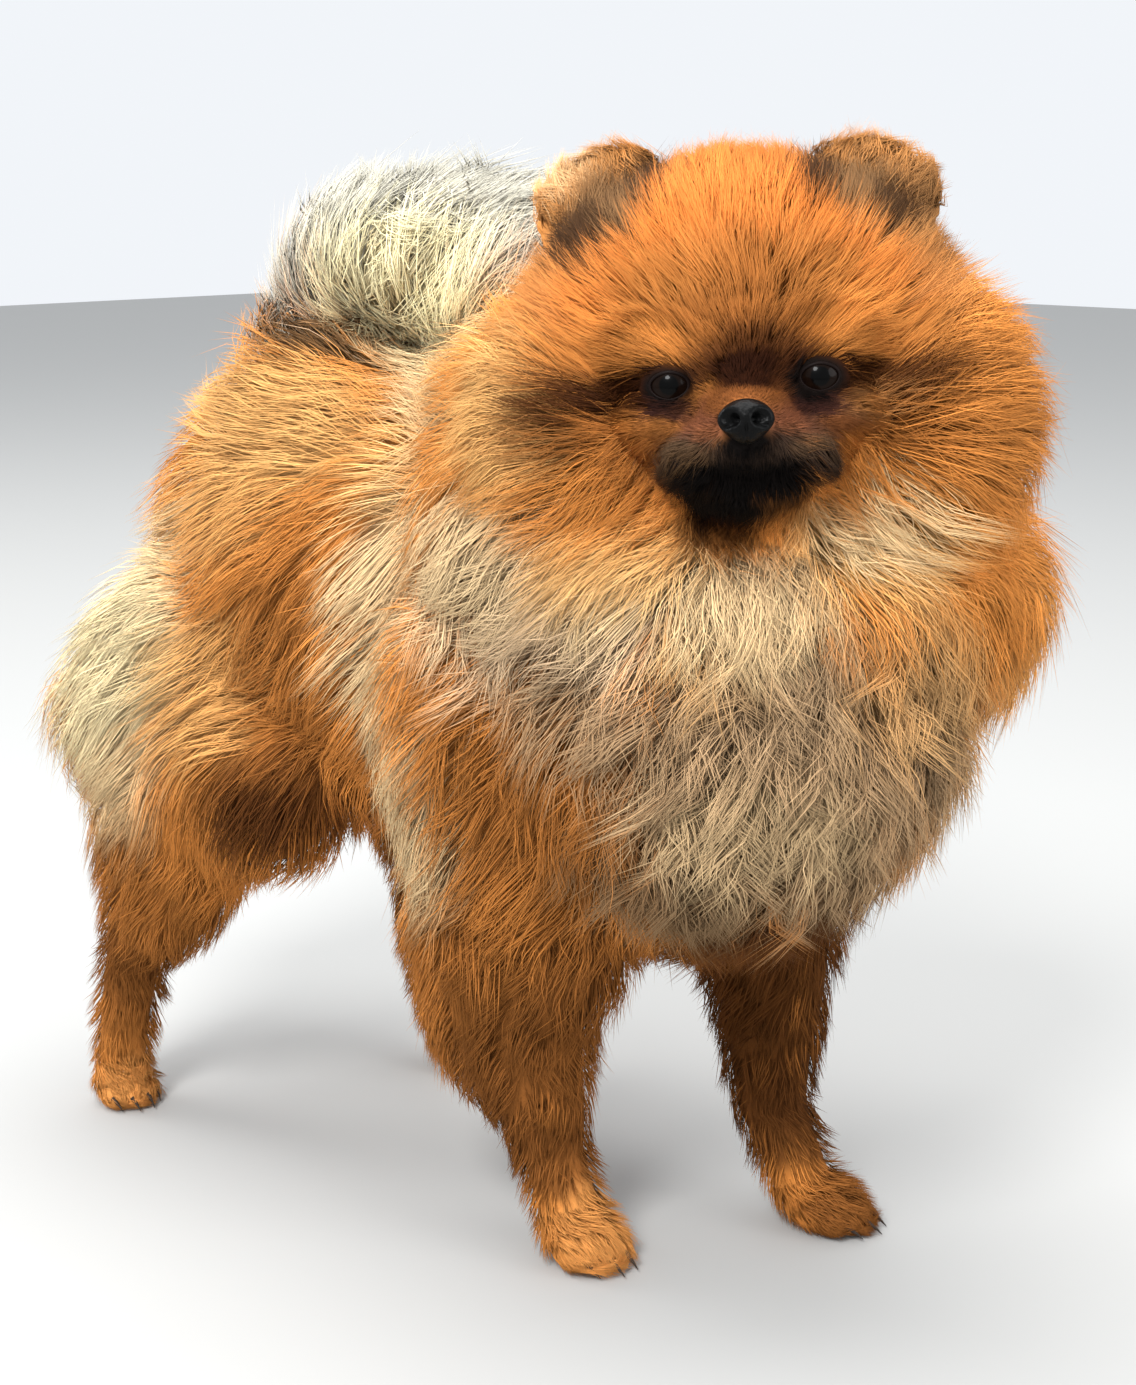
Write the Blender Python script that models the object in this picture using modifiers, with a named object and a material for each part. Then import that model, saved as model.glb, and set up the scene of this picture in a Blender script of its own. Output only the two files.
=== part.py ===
# A standing Pomeranian, life size: the closed outline of its coat, parted into named pieces.
# The dog faces -Y with its head turned to its own right, +X is its left side and +Z is up.
# The origin is on the floor, under the middle of the dog's box. Tables are in centimetres.
import math

import bmesh
import bpy
from mathutils import Euler, Matrix, Vector

CM = 0.01
PART_GAP = 0.04  # width of the thin cuts between pieces
FIT_GAP = 0.04  # room left round an eye, a claw, the nose, an ear and the tail
BODY_VOXEL = 0.22
TAIL_VOXEL = 0.3
EAR_VOXEL = 0.16
BODY_TRIANGLES = 4100
TAIL_TRIANGLES = 400
EAR_TRIANGLES = 150
HALF_SPACE = (60.0, 60.0, 60.0)

# Moves the middle of the dog's box onto the origin.
STAND_SHIFT = (-0.8, 2.6, 0.0)

# The head's frame: its origin is midway between the eyes, on the face.
EYES_MIDDLE = (-4.7, -15.2, 25.4)
HEAD_TURN = (-5.0, -3.8, -50.0)  # pitch, roll and yaw in degrees

EYE_APART = 1.83  # from the midline to an eye's centre
EYE_RADIUS = 0.8
EYE_DEPTH = 0.5
NOSE_AT = (0.0, -2.35, -0.85)
NOSE_RADII = (0.66, 0.5, 0.5)
NOSTRIL_AT = (0.3, -0.42, -0.04)
NOSTRIL_RADIUS = 0.14

# Lumps of coat. Each row is a centre and three radii, and in some rows a tilt in degrees.
BODY_LUMPS = {
    "ribs": ((0.0, -2.5, 18.1), (6.6, 8.5, 7.4)),
    "loin": ((0.0, 3.2, 18.2), (6.2, 7.0, 7.0)),
    "croup": ((0.0, 6.6, 18.0), (4.8, 6.0, 6.8)),
    "rump": ((0.0, 9.2, 14.5), (5.2, 4.3, 5.6)),
    "saddle": ((0.0, 1.5, 21.8), (4.8, 7.5, 3.9)),
    "tail_base": ((0.0, 4.4, 22.6), (4.8, 4.6, 4.4)),
    "belly": ((0.0, 0.5, 12.8), (4.6, 6.5, 2.4)),
    "mane": ((-0.6, -8.8, 20.6), (7.2, 6.6, 7.0)),
    "nape": ((-1.2, -7.5, 23.6), (5.4, 5.4, 4.0)),
    "collar": ((1.0, -11.4, 18.9), (8.6, 7.4, 4.8)),
    "bib": ((-0.9, -11.9, 16.5), (6.7, 6.3, 6.5)),
    "breast": ((0.0, -9.9, 12.9), (5.2, 5.0, 4.2)),
    "right_shoulder": ((-4.3, -7.0, 15.1), (3.6, 4.8, 5.8)),
    "left_shoulder": ((4.3, -8.0, 15.1), (3.4, 4.8, 5.8)),
    "right_flank": ((-3.9, 4.8, 12.0), (3.0, 4.2, 3.6)),
    "left_flank": ((3.9, 3.0, 12.4), (3.0, 4.2, 3.6)),
    "right_thigh": ((-3.8, 8.0, 13.6), (3.3, 4.8, 5.4)),
    "left_thigh": ((4.2, 6.4, 13.8), (3.2, 4.6, 5.4)),
    "right_pants": ((-3.4, 10.8, 13.0), (3.2, 3.6, 3.8)),
    "left_pants": ((3.4, 10.0, 13.4), (3.0, 3.6, 3.8)),
}
# These rows are in the head's frame.
HEAD_LUMPS = {
    "cranium": ((0.0, 4.6, 1.0), (6.0, 5.2, 5.0)),
    "forehead": ((0.0, 2.8, 2.9), (4.2, 3.0, 3.0)),
    "face": ((0.0, 1.9, 0.2), (3.3, 2.3, 2.3)),
    "right_cheek": ((-4.1, 4.0, -1.3), (3.6, 3.8, 4.2)),
    "left_cheek": ((4.1, 4.0, -1.3), (3.6, 3.8, 4.2)),
    "throat": ((0.0, 3.2, -3.8), (3.8, 3.2, 2.4)),
    "bridge": ((0.0, -0.5, -0.75), (1.1, 2.0, 0.85)),
    "muzzle": ((0.0, -0.5, -1.45), (1.5, 1.9, 1.0)),
    "right_lip": ((-1.0, -0.3, -1.9), (1.25, 1.6, 0.95)),
    "left_lip": ((1.0, -0.3, -1.9), (1.25, 1.6, 0.95)),
    "chin": ((0.0, 0.0, -2.65), (1.5, 1.6, 0.8)),
}
# Ears in the head's frame, as one lump each.
EARS = {
    "right": ((-3.5, 4.2, 4.65), (1.75, 0.95, 1.75), (-12.0, -14.0, 12.0)),
    "left": ((3.6, 4.2, 4.4), (1.75, 0.95, 1.75), (-12.0, 14.0, -12.0)),
}
TAIL_LUMPS = {
    "set": ((0.2, 4.8, 26.0), (2.6, 2.4, 2.6)),
    "rise": ((0.4, 3.2, 27.3), (3.6, 3.1, 2.9)),
    "plume": ((0.6, 0.0, 27.7), (4.6, 4.4, 2.7)),
    "tip": ((0.8, -3.2, 27.1), (4.0, 3.2, 2.7)),
}

# Limbs, from the body down: a joint's place, and the coat's radii across and along the dog.
LIMBS = {
    "fore_right": (
        ((-3.7, -6.6, 12.2), (3.2, 3.8)),
        ((-3.4, -6.1, 8.8), (2.7, 4.0)),
        ((-3.3, -5.6, 7.2), (2.3, 3.4)),
        ((-3.2, -5.8, 5.7), (1.9, 3.05)),
        ((-3.0, -6.65, 4.1), (1.4, 1.95)),
        ((-2.95, -7.1, 3.0), (1.1, 1.22)),
        ((-2.9, -7.6, 1.6), (1.08, 1.12)),
    ),
    "fore_left": (
        ((3.6, -8.9, 12.0), (3.0, 3.4)),
        ((3.4, -9.6, 8.0), (2.15, 2.6)),
        ((3.3, -9.85, 6.6), (1.8, 2.2)),
        ((3.3, -9.9, 5.0), (1.5, 1.72)),
        ((3.3, -10.0, 3.5), (1.28, 1.36)),
        ((3.4, -10.5, 2.4), (1.14, 1.16)),
        ((3.5, -11.0, 1.3), (1.1, 1.1)),
    ),
    "hind_right": (
        ((-4.1, 7.8, 11.2), (3.1, 4.2)),
        ((-4.5, 8.8, 7.3), (1.9, 2.9)),
        ((-4.6, 10.4, 5.3), (1.18, 1.3)),
        ((-4.7, 10.8, 3.5), (1.08, 1.1)),
        ((-4.75, 11.1, 1.6), (1.0, 1.0)),
    ),
    "hind_left": (
        ((4.2, 5.6, 11.2), (3.1, 3.9)),
        ((4.5, 5.2, 7.3), (1.9, 2.6)),
        ((4.7, 6.4, 5.3), (1.18, 1.3)),
        ((4.85, 6.2, 3.5), (1.08, 1.1)),
        ((5.0, 5.8, 1.6), (1.0, 1.0)),
    ),
}
# Paws: where the middle of the pad stands, how far the toes turn in degrees, and the scale.
PAWS = {
    "fore_right": ((-2.9, -8.2), 4.0, 1.04),
    "fore_left": ((3.65, -11.8), 24.0, 1.02),
    "hind_right": ((-4.85, 11.0), -6.0, 0.9),
    "hind_left": ((5.1, 5.1), 6.0, 0.9),
}
PAD_LUMP = ((0.0, 0.1, 0.75), (1.12, 1.15, 0.95))
# Toes of a paw: sideways, forward, and radius.
TOES = ((-0.86, 0.48, 0.44), (-0.31, 0.88, 0.47), (0.31, 0.88, 0.47), (0.86, 0.48, 0.44))
TOE_HEIGHT = 0.4
TOE_LENGTH = 1.55  # as a share of its radius
CLAW_LENGTH = 0.7
CLAW_RADIUS = 0.12
CLAW_DROOP = 28.0

# Cuts: a point on the face of a box, the way the box reaches from it, and the box's size.
FRONT_CUT = ((0.0, -8.0, 18.5), (0.0, -0.8, 0.6), HALF_SPACE)
FORELEGS_CUT = ((0.0, -9.0, 10.2), (0.0, 0.0, -1.0), (30.0, 16.0, 14.0))
HINDQUARTERS_CUT = ((0.0, 8.0, 13.4), (0.0, 0.42, -0.91), (30.0, 20.0, 20.0))
RIGHT_CUT = ((0.0, 0.0, 10.0), (-1.0, 0.0, 0.0), HALF_SPACE)
SHANK_CUT = ((0.0, 0.0, 8.8), (0.0, 0.0, -1.0), HALF_SPACE)
FOREPAW_CUT = ((0.0, 0.0, 2.5), (0.0, 0.0, -1.0), HALF_SPACE)
HINDPAW_CUT = ((0.0, 0.0, 2.2), (0.0, 0.0, -1.0), HALF_SPACE)
# These are in the head's frame.
HEAD_CUT = ((0.0, 6.0, -2.4), (0.0, -0.4, 0.92), HALF_SPACE)
SNOUT_CUT = ((0.0, -0.35, -1.6), (0.0, -1.0, 0.0), (5.0, 3.8, 10.0))
JAW_CUT = ((0.0, 0.0, -2.15), (0.0, -0.08, -1.0), HALF_SPACE)

COLOURS = {
    "orange": ((0.62, 0.26, 0.07), 0.85),
    "cream": ((0.80, 0.62, 0.38), 0.85),
    "sable": ((0.34, 0.23, 0.13), 0.85),
    "rust": ((0.30, 0.11, 0.035), 0.85),
    "black": ((0.02, 0.017, 0.016), 0.6),
    "wet": ((0.012, 0.011, 0.011), 0.3),
    "eye": ((0.012, 0.006, 0.004), 0.08),
    "horn": ((0.03, 0.022, 0.018), 0.45),
}
FINISHES = {
    "head": "orange",
    "muzzle": "black",
    "jaw": "black",
    "nose": "wet",
    "eye": "eye",
    "ear": "sable",
    "neck": "cream",
    "trunk": "orange",
    "tail": "cream",
    "foreleg": "rust",
    "forepaw": "orange",
    "thigh": "cream",
    "shank": "rust",
    "hindpaw": "orange",
    "claw": "horn",
}


def clear_scene():
    for old in list(bpy.data.objects):
        bpy.data.objects.remove(old)


def new_collection(name, hidden=False):
    made = bpy.data.collections.new(name)
    bpy.context.scene.collection.children.link(made)
    made.hide_render = hidden
    return made


def new_material(name, colour, roughness):
    made = bpy.data.materials.new(name)
    made.use_nodes = True
    shader = made.node_tree.nodes["Principled BSDF"]
    shader.inputs["Base Color"].default_value = (*colour, 1.0)
    shader.inputs["Roughness"].default_value = roughness
    shader.inputs["Metallic"].default_value = 0.0
    return made


def turned(degrees):
    return Euler([math.radians(a) for a in degrees], "XYZ").to_matrix().to_4x4()


def head_frame():
    return Matrix.Translation(Vector(EYES_MIDDLE) * CM) @ turned(HEAD_TURN)


def paw_frame(name):
    (x, y), turn_out, scale = PAWS[name]
    place = Matrix.Translation(Vector((x, y, 0.0)) * CM)
    return place @ turned((0.0, 0.0, turn_out)) @ Matrix.Scale(scale, 4)


def lump_matrix(centre, radii, tilt=(0.0, 0.0, 0.0)):
    size = Matrix.Diagonal((*[r * CM for r in radii], 1.0))
    return Matrix.Translation(Vector(centre) * CM) @ turned(tilt) @ size


def add_ball(mesh, matrix, segments=24, rings=14):
    bmesh.ops.create_uvsphere(
        mesh, u_segments=segments, v_segments=rings, radius=1.0, matrix=matrix
    )


def add_lumps(mesh, rows, frame=Matrix.Identity(4)):
    for row in rows.values():
        add_ball(mesh, frame @ lump_matrix(*row))


def add_limb(mesh, joints):
    # Balls run down each bone, close enough together to fuse into one taper.
    for (upper, wide), (lower, slim) in zip(joints, joints[1:]):
        start, end = Vector(upper), Vector(lower)
        count = max(2, round((end - start).length / 0.45))
        for step in range(count + 1):
            share = step / count
            across, along = Vector(wide).lerp(Vector(slim), share)
            radii = (across, along, min(across, along))
            add_ball(mesh, lump_matrix(start.lerp(end, share), radii), 14, 8)


def add_paw(mesh, name):
    frame = paw_frame(name)
    add_ball(mesh, frame @ lump_matrix(*PAD_LUMP), 18, 10)
    for side, forward, radius in TOES:
        radii = (radius, radius * TOE_LENGTH, radius * 1.1)
        add_ball(mesh, frame @ lump_matrix((side, -forward, TOE_HEIGHT), radii), 12, 8)


def object_from(mesh, name, collection):
    data = bpy.data.meshes.new(name)
    mesh.to_mesh(data)
    mesh.free()
    made = bpy.data.objects.new(name, data)
    collection.objects.link(made)
    return made


def copy_of(source, name, collection):
    made = bpy.data.objects.new(name, source.data.copy())
    collection.objects.link(made)
    return made


def shape(target, kind, **settings):
    # Adds a modifier and swaps the mesh for the shape that it makes.
    added = target.modifiers.new(kind.title(), kind)
    for key, value in settings.items():
        setattr(added, key, value)
    graph = bpy.context.evaluated_depsgraph_get()
    made = bpy.data.meshes.new_from_object(target.evaluated_get(graph))
    target.modifiers.clear()
    old = target.data
    target.data = made
    bpy.data.meshes.remove(old)


def fuse(target, voxel, smoothing, triangles):
    shape(target, "REMESH", mode="VOXEL", voxel_size=voxel * CM)
    shape(target, "SMOOTH", factor=0.5, iterations=smoothing)
    shape(target, "TRIANGULATE")
    shape(target, "DECIMATE", ratio=min(1.0, triangles / len(target.data.polygons)))


def cut_away(target, cutter):
    shape(target, "BOOLEAN", operation="DIFFERENCE", object=cutter, solver="EXACT")
    bpy.data.objects.remove(cutter)


def mark_cutter(cutter):
    cutter.display_type = "WIRE"
    cutter.hide_render = True
    return cutter


def fattened(source, gap, helpers):
    # A copy that stands out from the source by the gap, to cut its neighbour with.
    made = mark_cutter(copy_of(source, "cutter", helpers))
    shape(made, "DISPLACE", strength=gap * CM, mid_level=0.0)
    return made


def cut_box(cut, frame, start, helpers):
    point, facing, size = cut
    depth_way = (frame.to_3x3() @ Vector(facing)).normalized()
    side_way = Vector((0.0, 1.0, 0.0)) if abs(depth_way.x) > 0.9 else Vector((1.0, 0.0, 0.0))
    side_way = (side_way - depth_way * side_way.dot(depth_way)).normalized()
    turn = Matrix((side_way, depth_way.cross(side_way), depth_way)).transposed().to_4x4()
    size = [length * CM for length in size]
    size[2] -= start * CM
    centre = frame @ (Vector(point) * CM) + depth_way * (size[2] / 2 + start * CM)
    mesh = bmesh.new()
    place = Matrix.Translation(centre) @ turn @ Matrix.Diagonal((*size, 1.0))
    bmesh.ops.create_cube(mesh, size=1.0, matrix=place)
    return mark_cutter(object_from(mesh, "cutter", helpers))


def part_off(source, name, cut, collection, helpers, frame=Matrix.Identity(4)):
    # Takes what lies in the cut's box off the source, as a piece of its own.
    piece = copy_of(source, name, collection)
    inner = cut_box(cut, frame, PART_GAP, helpers)
    shape(piece, "BOOLEAN", operation="INTERSECT", object=inner, solver="EXACT")
    bpy.data.objects.remove(inner)
    cut_away(source, cut_box(cut, frame, 0.0, helpers))
    return piece


def islands_of(mesh):
    waiting = set(mesh.verts)
    islands = []
    while waiting:
        island = {waiting.pop()}
        edge = list(island)
        while edge:
            edge = list({e.other_vert(v) for v in edge for e in v.link_edges} - island)
            island.update(edge)
        waiting -= island
        islands.append(island)
    return islands


def drop_crumbs(target):
    # A cut can leave crumbs beside the piece. Only its largest body stays.
    mesh = bmesh.new()
    mesh.from_mesh(target.data)
    largest = max(islands_of(mesh), key=len)
    crumbs = [v for v in mesh.verts if v not in largest]
    bmesh.ops.delete(mesh, geom=crumbs, context="VERTS")
    mesh.to_mesh(target.data)
    mesh.free()


def make_body(collection, helpers):
    mesh = bmesh.new()
    add_lumps(mesh, BODY_LUMPS)
    add_lumps(mesh, HEAD_LUMPS, head_frame())
    for name, joints in LIMBS.items():
        add_limb(mesh, joints)
        add_paw(mesh, name)
    body = object_from(mesh, "trunk", collection)
    fuse(body, BODY_VOXEL, 4, BODY_TRIANGLES)
    floor = ((0.0, 0.0, 0.0), (0.0, 0.0, -1.0), HALF_SPACE)
    cut_away(body, cut_box(floor, Matrix.Identity(4), 0.0, helpers))
    return body


def make_eye(name, side, collection):
    mesh = bmesh.new()
    centre = (side * EYE_APART, EYE_DEPTH, 0.0)
    front = turned((90.0, 0.0, 0.0))
    place = head_frame() @ lump_matrix(centre, [EYE_RADIUS] * 3) @ front
    add_ball(mesh, place, 12, 8)
    return object_from(mesh, name, collection)


def make_nose(collection, helpers):
    mesh = bmesh.new()
    frame = head_frame()
    add_ball(mesh, frame @ lump_matrix(NOSE_AT, NOSE_RADII), 14, 8)
    nose = object_from(mesh, "nose", collection)
    pocket = bmesh.new()
    for side in (-1, 1):
        centre = Vector(NOSE_AT) + Vector((side * NOSTRIL_AT[0], *NOSTRIL_AT[1:]))
        add_ball(pocket, frame @ lump_matrix(centre, [NOSTRIL_RADIUS] * 3), 6, 4)
    cut_away(nose, mark_cutter(object_from(pocket, "cutter", helpers)))
    return nose


def make_claw(paw, toe, collection):
    # A cone from inside the toe's end, sloping down towards the floor.
    side, forward, radius = TOES[toe]
    mesh = bmesh.new()
    spread = turned((0.0, 0.0, -side * 18.0))
    droop = turned((90.0 + CLAW_DROOP, 0.0, 0.0))
    start = Vector((side * 1.06, -forward - radius * TOE_LENGTH * 0.72, TOE_HEIGHT + 0.12))
    place = Matrix.Translation(start * CM) @ spread @ droop
    bmesh.ops.create_cone(
        mesh,
        cap_ends=True,
        segments=6,
        radius1=CLAW_RADIUS * CM,
        radius2=CLAW_RADIUS * 0.3 * CM,
        depth=CLAW_LENGTH * CM,
        matrix=paw_frame(paw) @ place,
    )
    limb, side_name = paw.split("_")
    return object_from(mesh, f"claw_{limb}_{side_name}_{toe + 1}", collection)


def make_grown(name, rows, voxel, triangles, body, collection, helpers, frame=Matrix.Identity(4)):
    # A piece that grows out of the body, such as an ear: its foot follows the coat there.
    mesh = bmesh.new()
    add_lumps(mesh, rows, frame)
    made = object_from(mesh, name, collection)
    fuse(made, voxel, 3, triangles)
    cut_away(made, fattened(body, FIT_GAP, helpers))
    return made


def make_pieces(collection, helpers):
    body = make_body(collection, helpers)
    frame = head_frame()
    for side, row in EARS.items():
        rows = {"ear": row}
        make_grown(
            f"ear_{side}", rows, EAR_VOXEL, EAR_TRIANGLES, body, collection, helpers, frame
        )
    make_grown("tail", TAIL_LUMPS, TAIL_VOXEL, TAIL_TRIANGLES, body, collection, helpers)
    set_in = [make_eye("eye_right", -1, collection), make_eye("eye_left", 1, collection)]
    set_in.append(make_nose(collection, helpers))
    set_in += [make_claw(paw, toe, collection) for paw in PAWS for toe in range(len(TOES))]
    for piece in set_in:
        cut_away(body, fattened(piece, FIT_GAP, helpers))
    part_body(body, collection, helpers)


def part_body(trunk, collection, helpers):
    tools = (collection, helpers)
    frame = head_frame()
    neck = part_off(trunk, "neck", FRONT_CUT, *tools)
    head = part_off(neck, "head", HEAD_CUT, *tools, frame)
    muzzle = part_off(head, "muzzle", SNOUT_CUT, *tools, frame)
    part_off(muzzle, "jaw", JAW_CUT, *tools, frame)
    left_fore = part_off(trunk, "foreleg_left", FORELEGS_CUT, *tools)
    left_hind = part_off(trunk, "thigh_left", HINDQUARTERS_CUT, *tools)
    right_fore = part_off(left_fore, "foreleg_right", RIGHT_CUT, *tools)
    right_hind = part_off(left_hind, "thigh_right", RIGHT_CUT, *tools)
    for side, leg in (("left", left_fore), ("right", right_fore)):
        part_off(leg, f"forepaw_{side}", FOREPAW_CUT, *tools)
    for side, thigh in (("left", left_hind), ("right", right_hind)):
        shank = part_off(thigh, f"shank_{side}", SHANK_CUT, *tools)
        part_off(shank, f"hindpaw_{side}", HINDPAW_CUT, *tools)


def finish_pieces(collection):
    finishes = {key: new_material(key, *row) for key, row in COLOURS.items()}
    stand = bpy.data.objects.new("stand", None)
    collection.objects.link(stand)
    stand.location = Vector(STAND_SHIFT) * CM
    for piece in list(collection.objects):
        if piece is stand:
            continue
        drop_crumbs(piece)
        piece.data.materials.clear()
        piece.data.materials.append(finishes[FINISHES[piece.name.split("_")[0]]])
        piece.data.shade_smooth()
        piece.data.set_sharp_from_angle(angle=math.radians(40.0))
        piece.parent = stand


def main():
    clear_scene()
    collection = new_collection("pomeranian")
    helpers = new_collection("cutters", hidden=True)
    make_pieces(collection, helpers)
    finish_pieces(collection)


main()
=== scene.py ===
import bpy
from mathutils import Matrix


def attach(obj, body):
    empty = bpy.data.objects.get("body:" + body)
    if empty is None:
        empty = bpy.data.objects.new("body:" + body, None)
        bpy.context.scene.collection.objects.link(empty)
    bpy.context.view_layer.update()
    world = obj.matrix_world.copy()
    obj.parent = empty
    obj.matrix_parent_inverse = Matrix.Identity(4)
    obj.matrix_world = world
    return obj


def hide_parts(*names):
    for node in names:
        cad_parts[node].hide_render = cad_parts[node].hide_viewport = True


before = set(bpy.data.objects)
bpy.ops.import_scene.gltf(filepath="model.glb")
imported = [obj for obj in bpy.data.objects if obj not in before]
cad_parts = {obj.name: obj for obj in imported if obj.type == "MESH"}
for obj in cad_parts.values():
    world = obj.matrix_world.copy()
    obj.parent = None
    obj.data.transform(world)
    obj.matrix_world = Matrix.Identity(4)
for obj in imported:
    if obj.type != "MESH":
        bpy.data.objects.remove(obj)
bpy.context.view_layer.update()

import math
from types import SimpleNamespace

import bpy
import numpy as np
from mathutils import Euler, Matrix, Vector
from mathutils.bvhtree import BVHTree
from mathutils.kdtree import KDTree

print("pomeranian: the frame is loaded")

# Body places are centimetres in the dog's own frame: x to its left, y to its back, z up.
# Head places start midway between the eyes, and paw places at the middle of each foot.
cm = 0.01
mm = 0.1
stand = {
    "shift": (-0.8, 2.6, 0.0),
    "eyesMiddle": (-4.7, -15.2, 25.4),
    "headTurn": (-5.0, -3.8, -50.0),
    "paws": {  # place on the floor, turn, scale
        "fore_right": ((-2.9, -8.2), 4.0, 1.04),
        "fore_left": ((3.65, -11.8), 24.0, 1.02),
        "hind_right": ((-4.85, 11.0), -6.0, 0.9),
        "hind_left": ((5.1, 5.1), 6.0, 0.9),
    },
}


def turned(degrees):
    return Euler([math.radians(a) for a in degrees], "XYZ").to_matrix().to_4x4()


frames = {"body": Matrix.Scale(cm, 4) @ Matrix.Translation(stand["shift"])}
frames["head"] = frames["body"] @ Matrix.Translation(stand["eyesMiddle"]) @ turned(stand["headTurn"])
for pawName, (pawPlace, pawTurn, pawScale) in stand["paws"].items():
    pawMiddle = Matrix.Translation((*pawPlace, 0.0))
    frames[pawName] = frames["body"] @ pawMiddle @ turned((0, 0, pawTurn)) @ Matrix.Scale(pawScale, 4)


def into(name, points):
    m = np.array(frames[name].inverted())
    return points @ m[:3, :3].T + m[:3, 3]


def outOf(name, points):
    m = np.array(frames[name])
    return points @ m[:3, :3].T + m[:3, 3]


def unit(vectors):
    return vectors / np.maximum(np.linalg.norm(vectors, axis=-1, keepdims=True), 1e-9)


def turnOut(name, vectors):
    m = np.array(frames[name])
    return unit(np.asarray(vectors, float) @ m[:3, :3].T)


def smoothStep(low, high, x):
    t = np.clip((x - low) / (high - low), 0, 1)
    return t * t * (3 - 2 * t)


noise = {"waves": 6, "turn": 6.28, "calm": 3.2}


def softNoise(points, size, seed):
    # A smooth wobble from -1 to 1, from a few waves that cross
    chance = np.random.default_rng(seed)
    ways = unit(chance.normal(size=(noise["waves"], 3)))
    starts = chance.uniform(0, noise["turn"], noise["waves"])
    return np.sin(points @ ways.T * (noise["turn"] / size) + starts).sum(axis=1) / noise["calm"]


def bothSides(place, reach, *rest):
    # A row of a table for the dog's right side and its left: a point or a way in it changes side too
    def onSide(value, side):
        return (side * value[0], *value[1:]) if isinstance(value, tuple) else value

    return [(onSide(place, side), reach, *(onSide(v, side) for v in rest)) for side in (-1, 1)]


def justThis(obj):
    if bpy.context.object and bpy.context.object.mode != "OBJECT":
        bpy.ops.object.mode_set(mode="OBJECT")
    bpy.ops.object.select_all(action="DESELECT")
    obj.select_set(True)
    bpy.context.view_layer.objects.active = obj


def placesOf(obj):
    co = np.empty(len(obj.data.vertices) * 3, np.float32)
    obj.data.vertices.foreach_get("co", co)
    return co.reshape(-1, 3).astype(float)


def setPlaces(obj, places):
    obj.data.vertices.foreach_set("co", places.astype(np.float32).ravel())
    obj.data.update()


def useModifier(obj, kind, **settings):
    justThis(obj)
    added = obj.modifiers.new(kind.lower(), kind)
    for key, value in settings.items():
        setattr(added, key, value)
    bpy.ops.object.modifier_apply(modifier=added.name)


def settle(obj):
    justThis(obj)
    bpy.ops.object.transform_apply(location=True, rotation=True, scale=True)


def addLump(frameName, centre, radii, tilt=(0, 0, 0), segments=20, rings=12):
    place = frames[frameName]
    turn = place.to_quaternion() @ turned(tilt).to_quaternion()
    size = place.to_scale()[0]
    bpy.ops.mesh.primitive_uv_sphere_add(segments=segments, ring_count=rings, radius=1.0)
    lump = bpy.context.object
    lump.location = place @ Vector(centre)
    lump.rotation_euler = turn.to_euler()
    lump.scale = [r * size for r in radii]
    return lump


def joined(parts, name):
    bpy.ops.object.select_all(action="DESELECT")
    for part in parts:
        part.select_set(True)
    bpy.context.view_layer.objects.active = parts[0]
    bpy.ops.object.join()
    whole = bpy.context.object
    whole.name = name
    whole.data.name = name
    settle(whole)
    return whole


# Camera, lights and floor
studio = {
    "camera": (-49.4, -49.2, 30.5),  # centimetres
    "look": (0.7193, 0.6947),
    "pitch": -12.5,
    "lens": 62.4,
    "floorSize": 8.0,
    "floorColour": (0.42, 0.42, 0.41, 1),
    "worldColour": (0.93, 0.96, 1.0, 1),
    "worldStrength": 0.95,
    "lamps": {  # place, what it faces, size, power
        "keyLamp": ((-1.5, -0.65, 1.6), (0.0, 0.0, 0.2), 0.7, 50.0),
        "skyLamp": ((0.1, 0.2, 1.9), (0.0, 0.0, 0.15), 1.6, 32.0),
        "fillLamp": ((0.5, -1.9, 0.9), (0.0, 0.0, 0.18), 1.2, 15.0),
        "rimLamp": ((-0.6, 1.7, 1.1), (0.0, 0.0, 0.2), 0.9, 12.0),
    },
}


def makeStudio():
    look = math.radians(studio["pitch"])
    ahead = Vector((*[c * math.cos(look) for c in studio["look"]], math.sin(look)))
    cameraData = bpy.data.cameras.new("camera")
    camera = bpy.data.objects.new("camera", cameraData)
    bpy.context.scene.collection.objects.link(camera)
    cameraData.lens = studio["lens"]
    cameraData.sensor_width = 36.0
    camera.location = Vector(studio["camera"]) * cm
    camera.rotation_euler = ahead.to_track_quat("-Z", "Y").to_euler()
    bpy.context.scene.camera = camera
    for name, (place, aim, size, power) in studio["lamps"].items():
        lampData = bpy.data.lights.new(name, "AREA")
        lampData.shape = "DISK"
        lampData.size = size
        lampData.energy = power
        lamp = bpy.data.objects.new(name, lampData)
        bpy.context.scene.collection.objects.link(lamp)
        lamp.location = place
        lamp.rotation_euler = (Vector(aim) - Vector(place)).to_track_quat("-Z", "Y").to_euler()
    world = bpy.data.worlds.new("studioAir")
    bpy.context.scene.world = world
    world.use_nodes = True
    backdrop = world.node_tree.nodes["Background"]
    backdrop.inputs["Color"].default_value = studio["worldColour"]
    backdrop.inputs["Strength"].default_value = studio["worldStrength"]
    bpy.ops.object.select_all(action="DESELECT")
    bpy.ops.mesh.primitive_plane_add(size=studio["floorSize"])
    floor = bpy.context.object
    floor.name = "floor"
    paint = bpy.data.materials.new("paleFloor")
    paint.use_nodes = True
    shader = paint.node_tree.nodes["Principled BSDF"]
    shader.inputs["Base Color"].default_value = studio["floorColour"]
    shader.inputs["Roughness"].default_value = 0.75
    floor.data.materials.append(paint)
    bpy.context.scene.view_settings.view_transform = "Standard"


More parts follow.
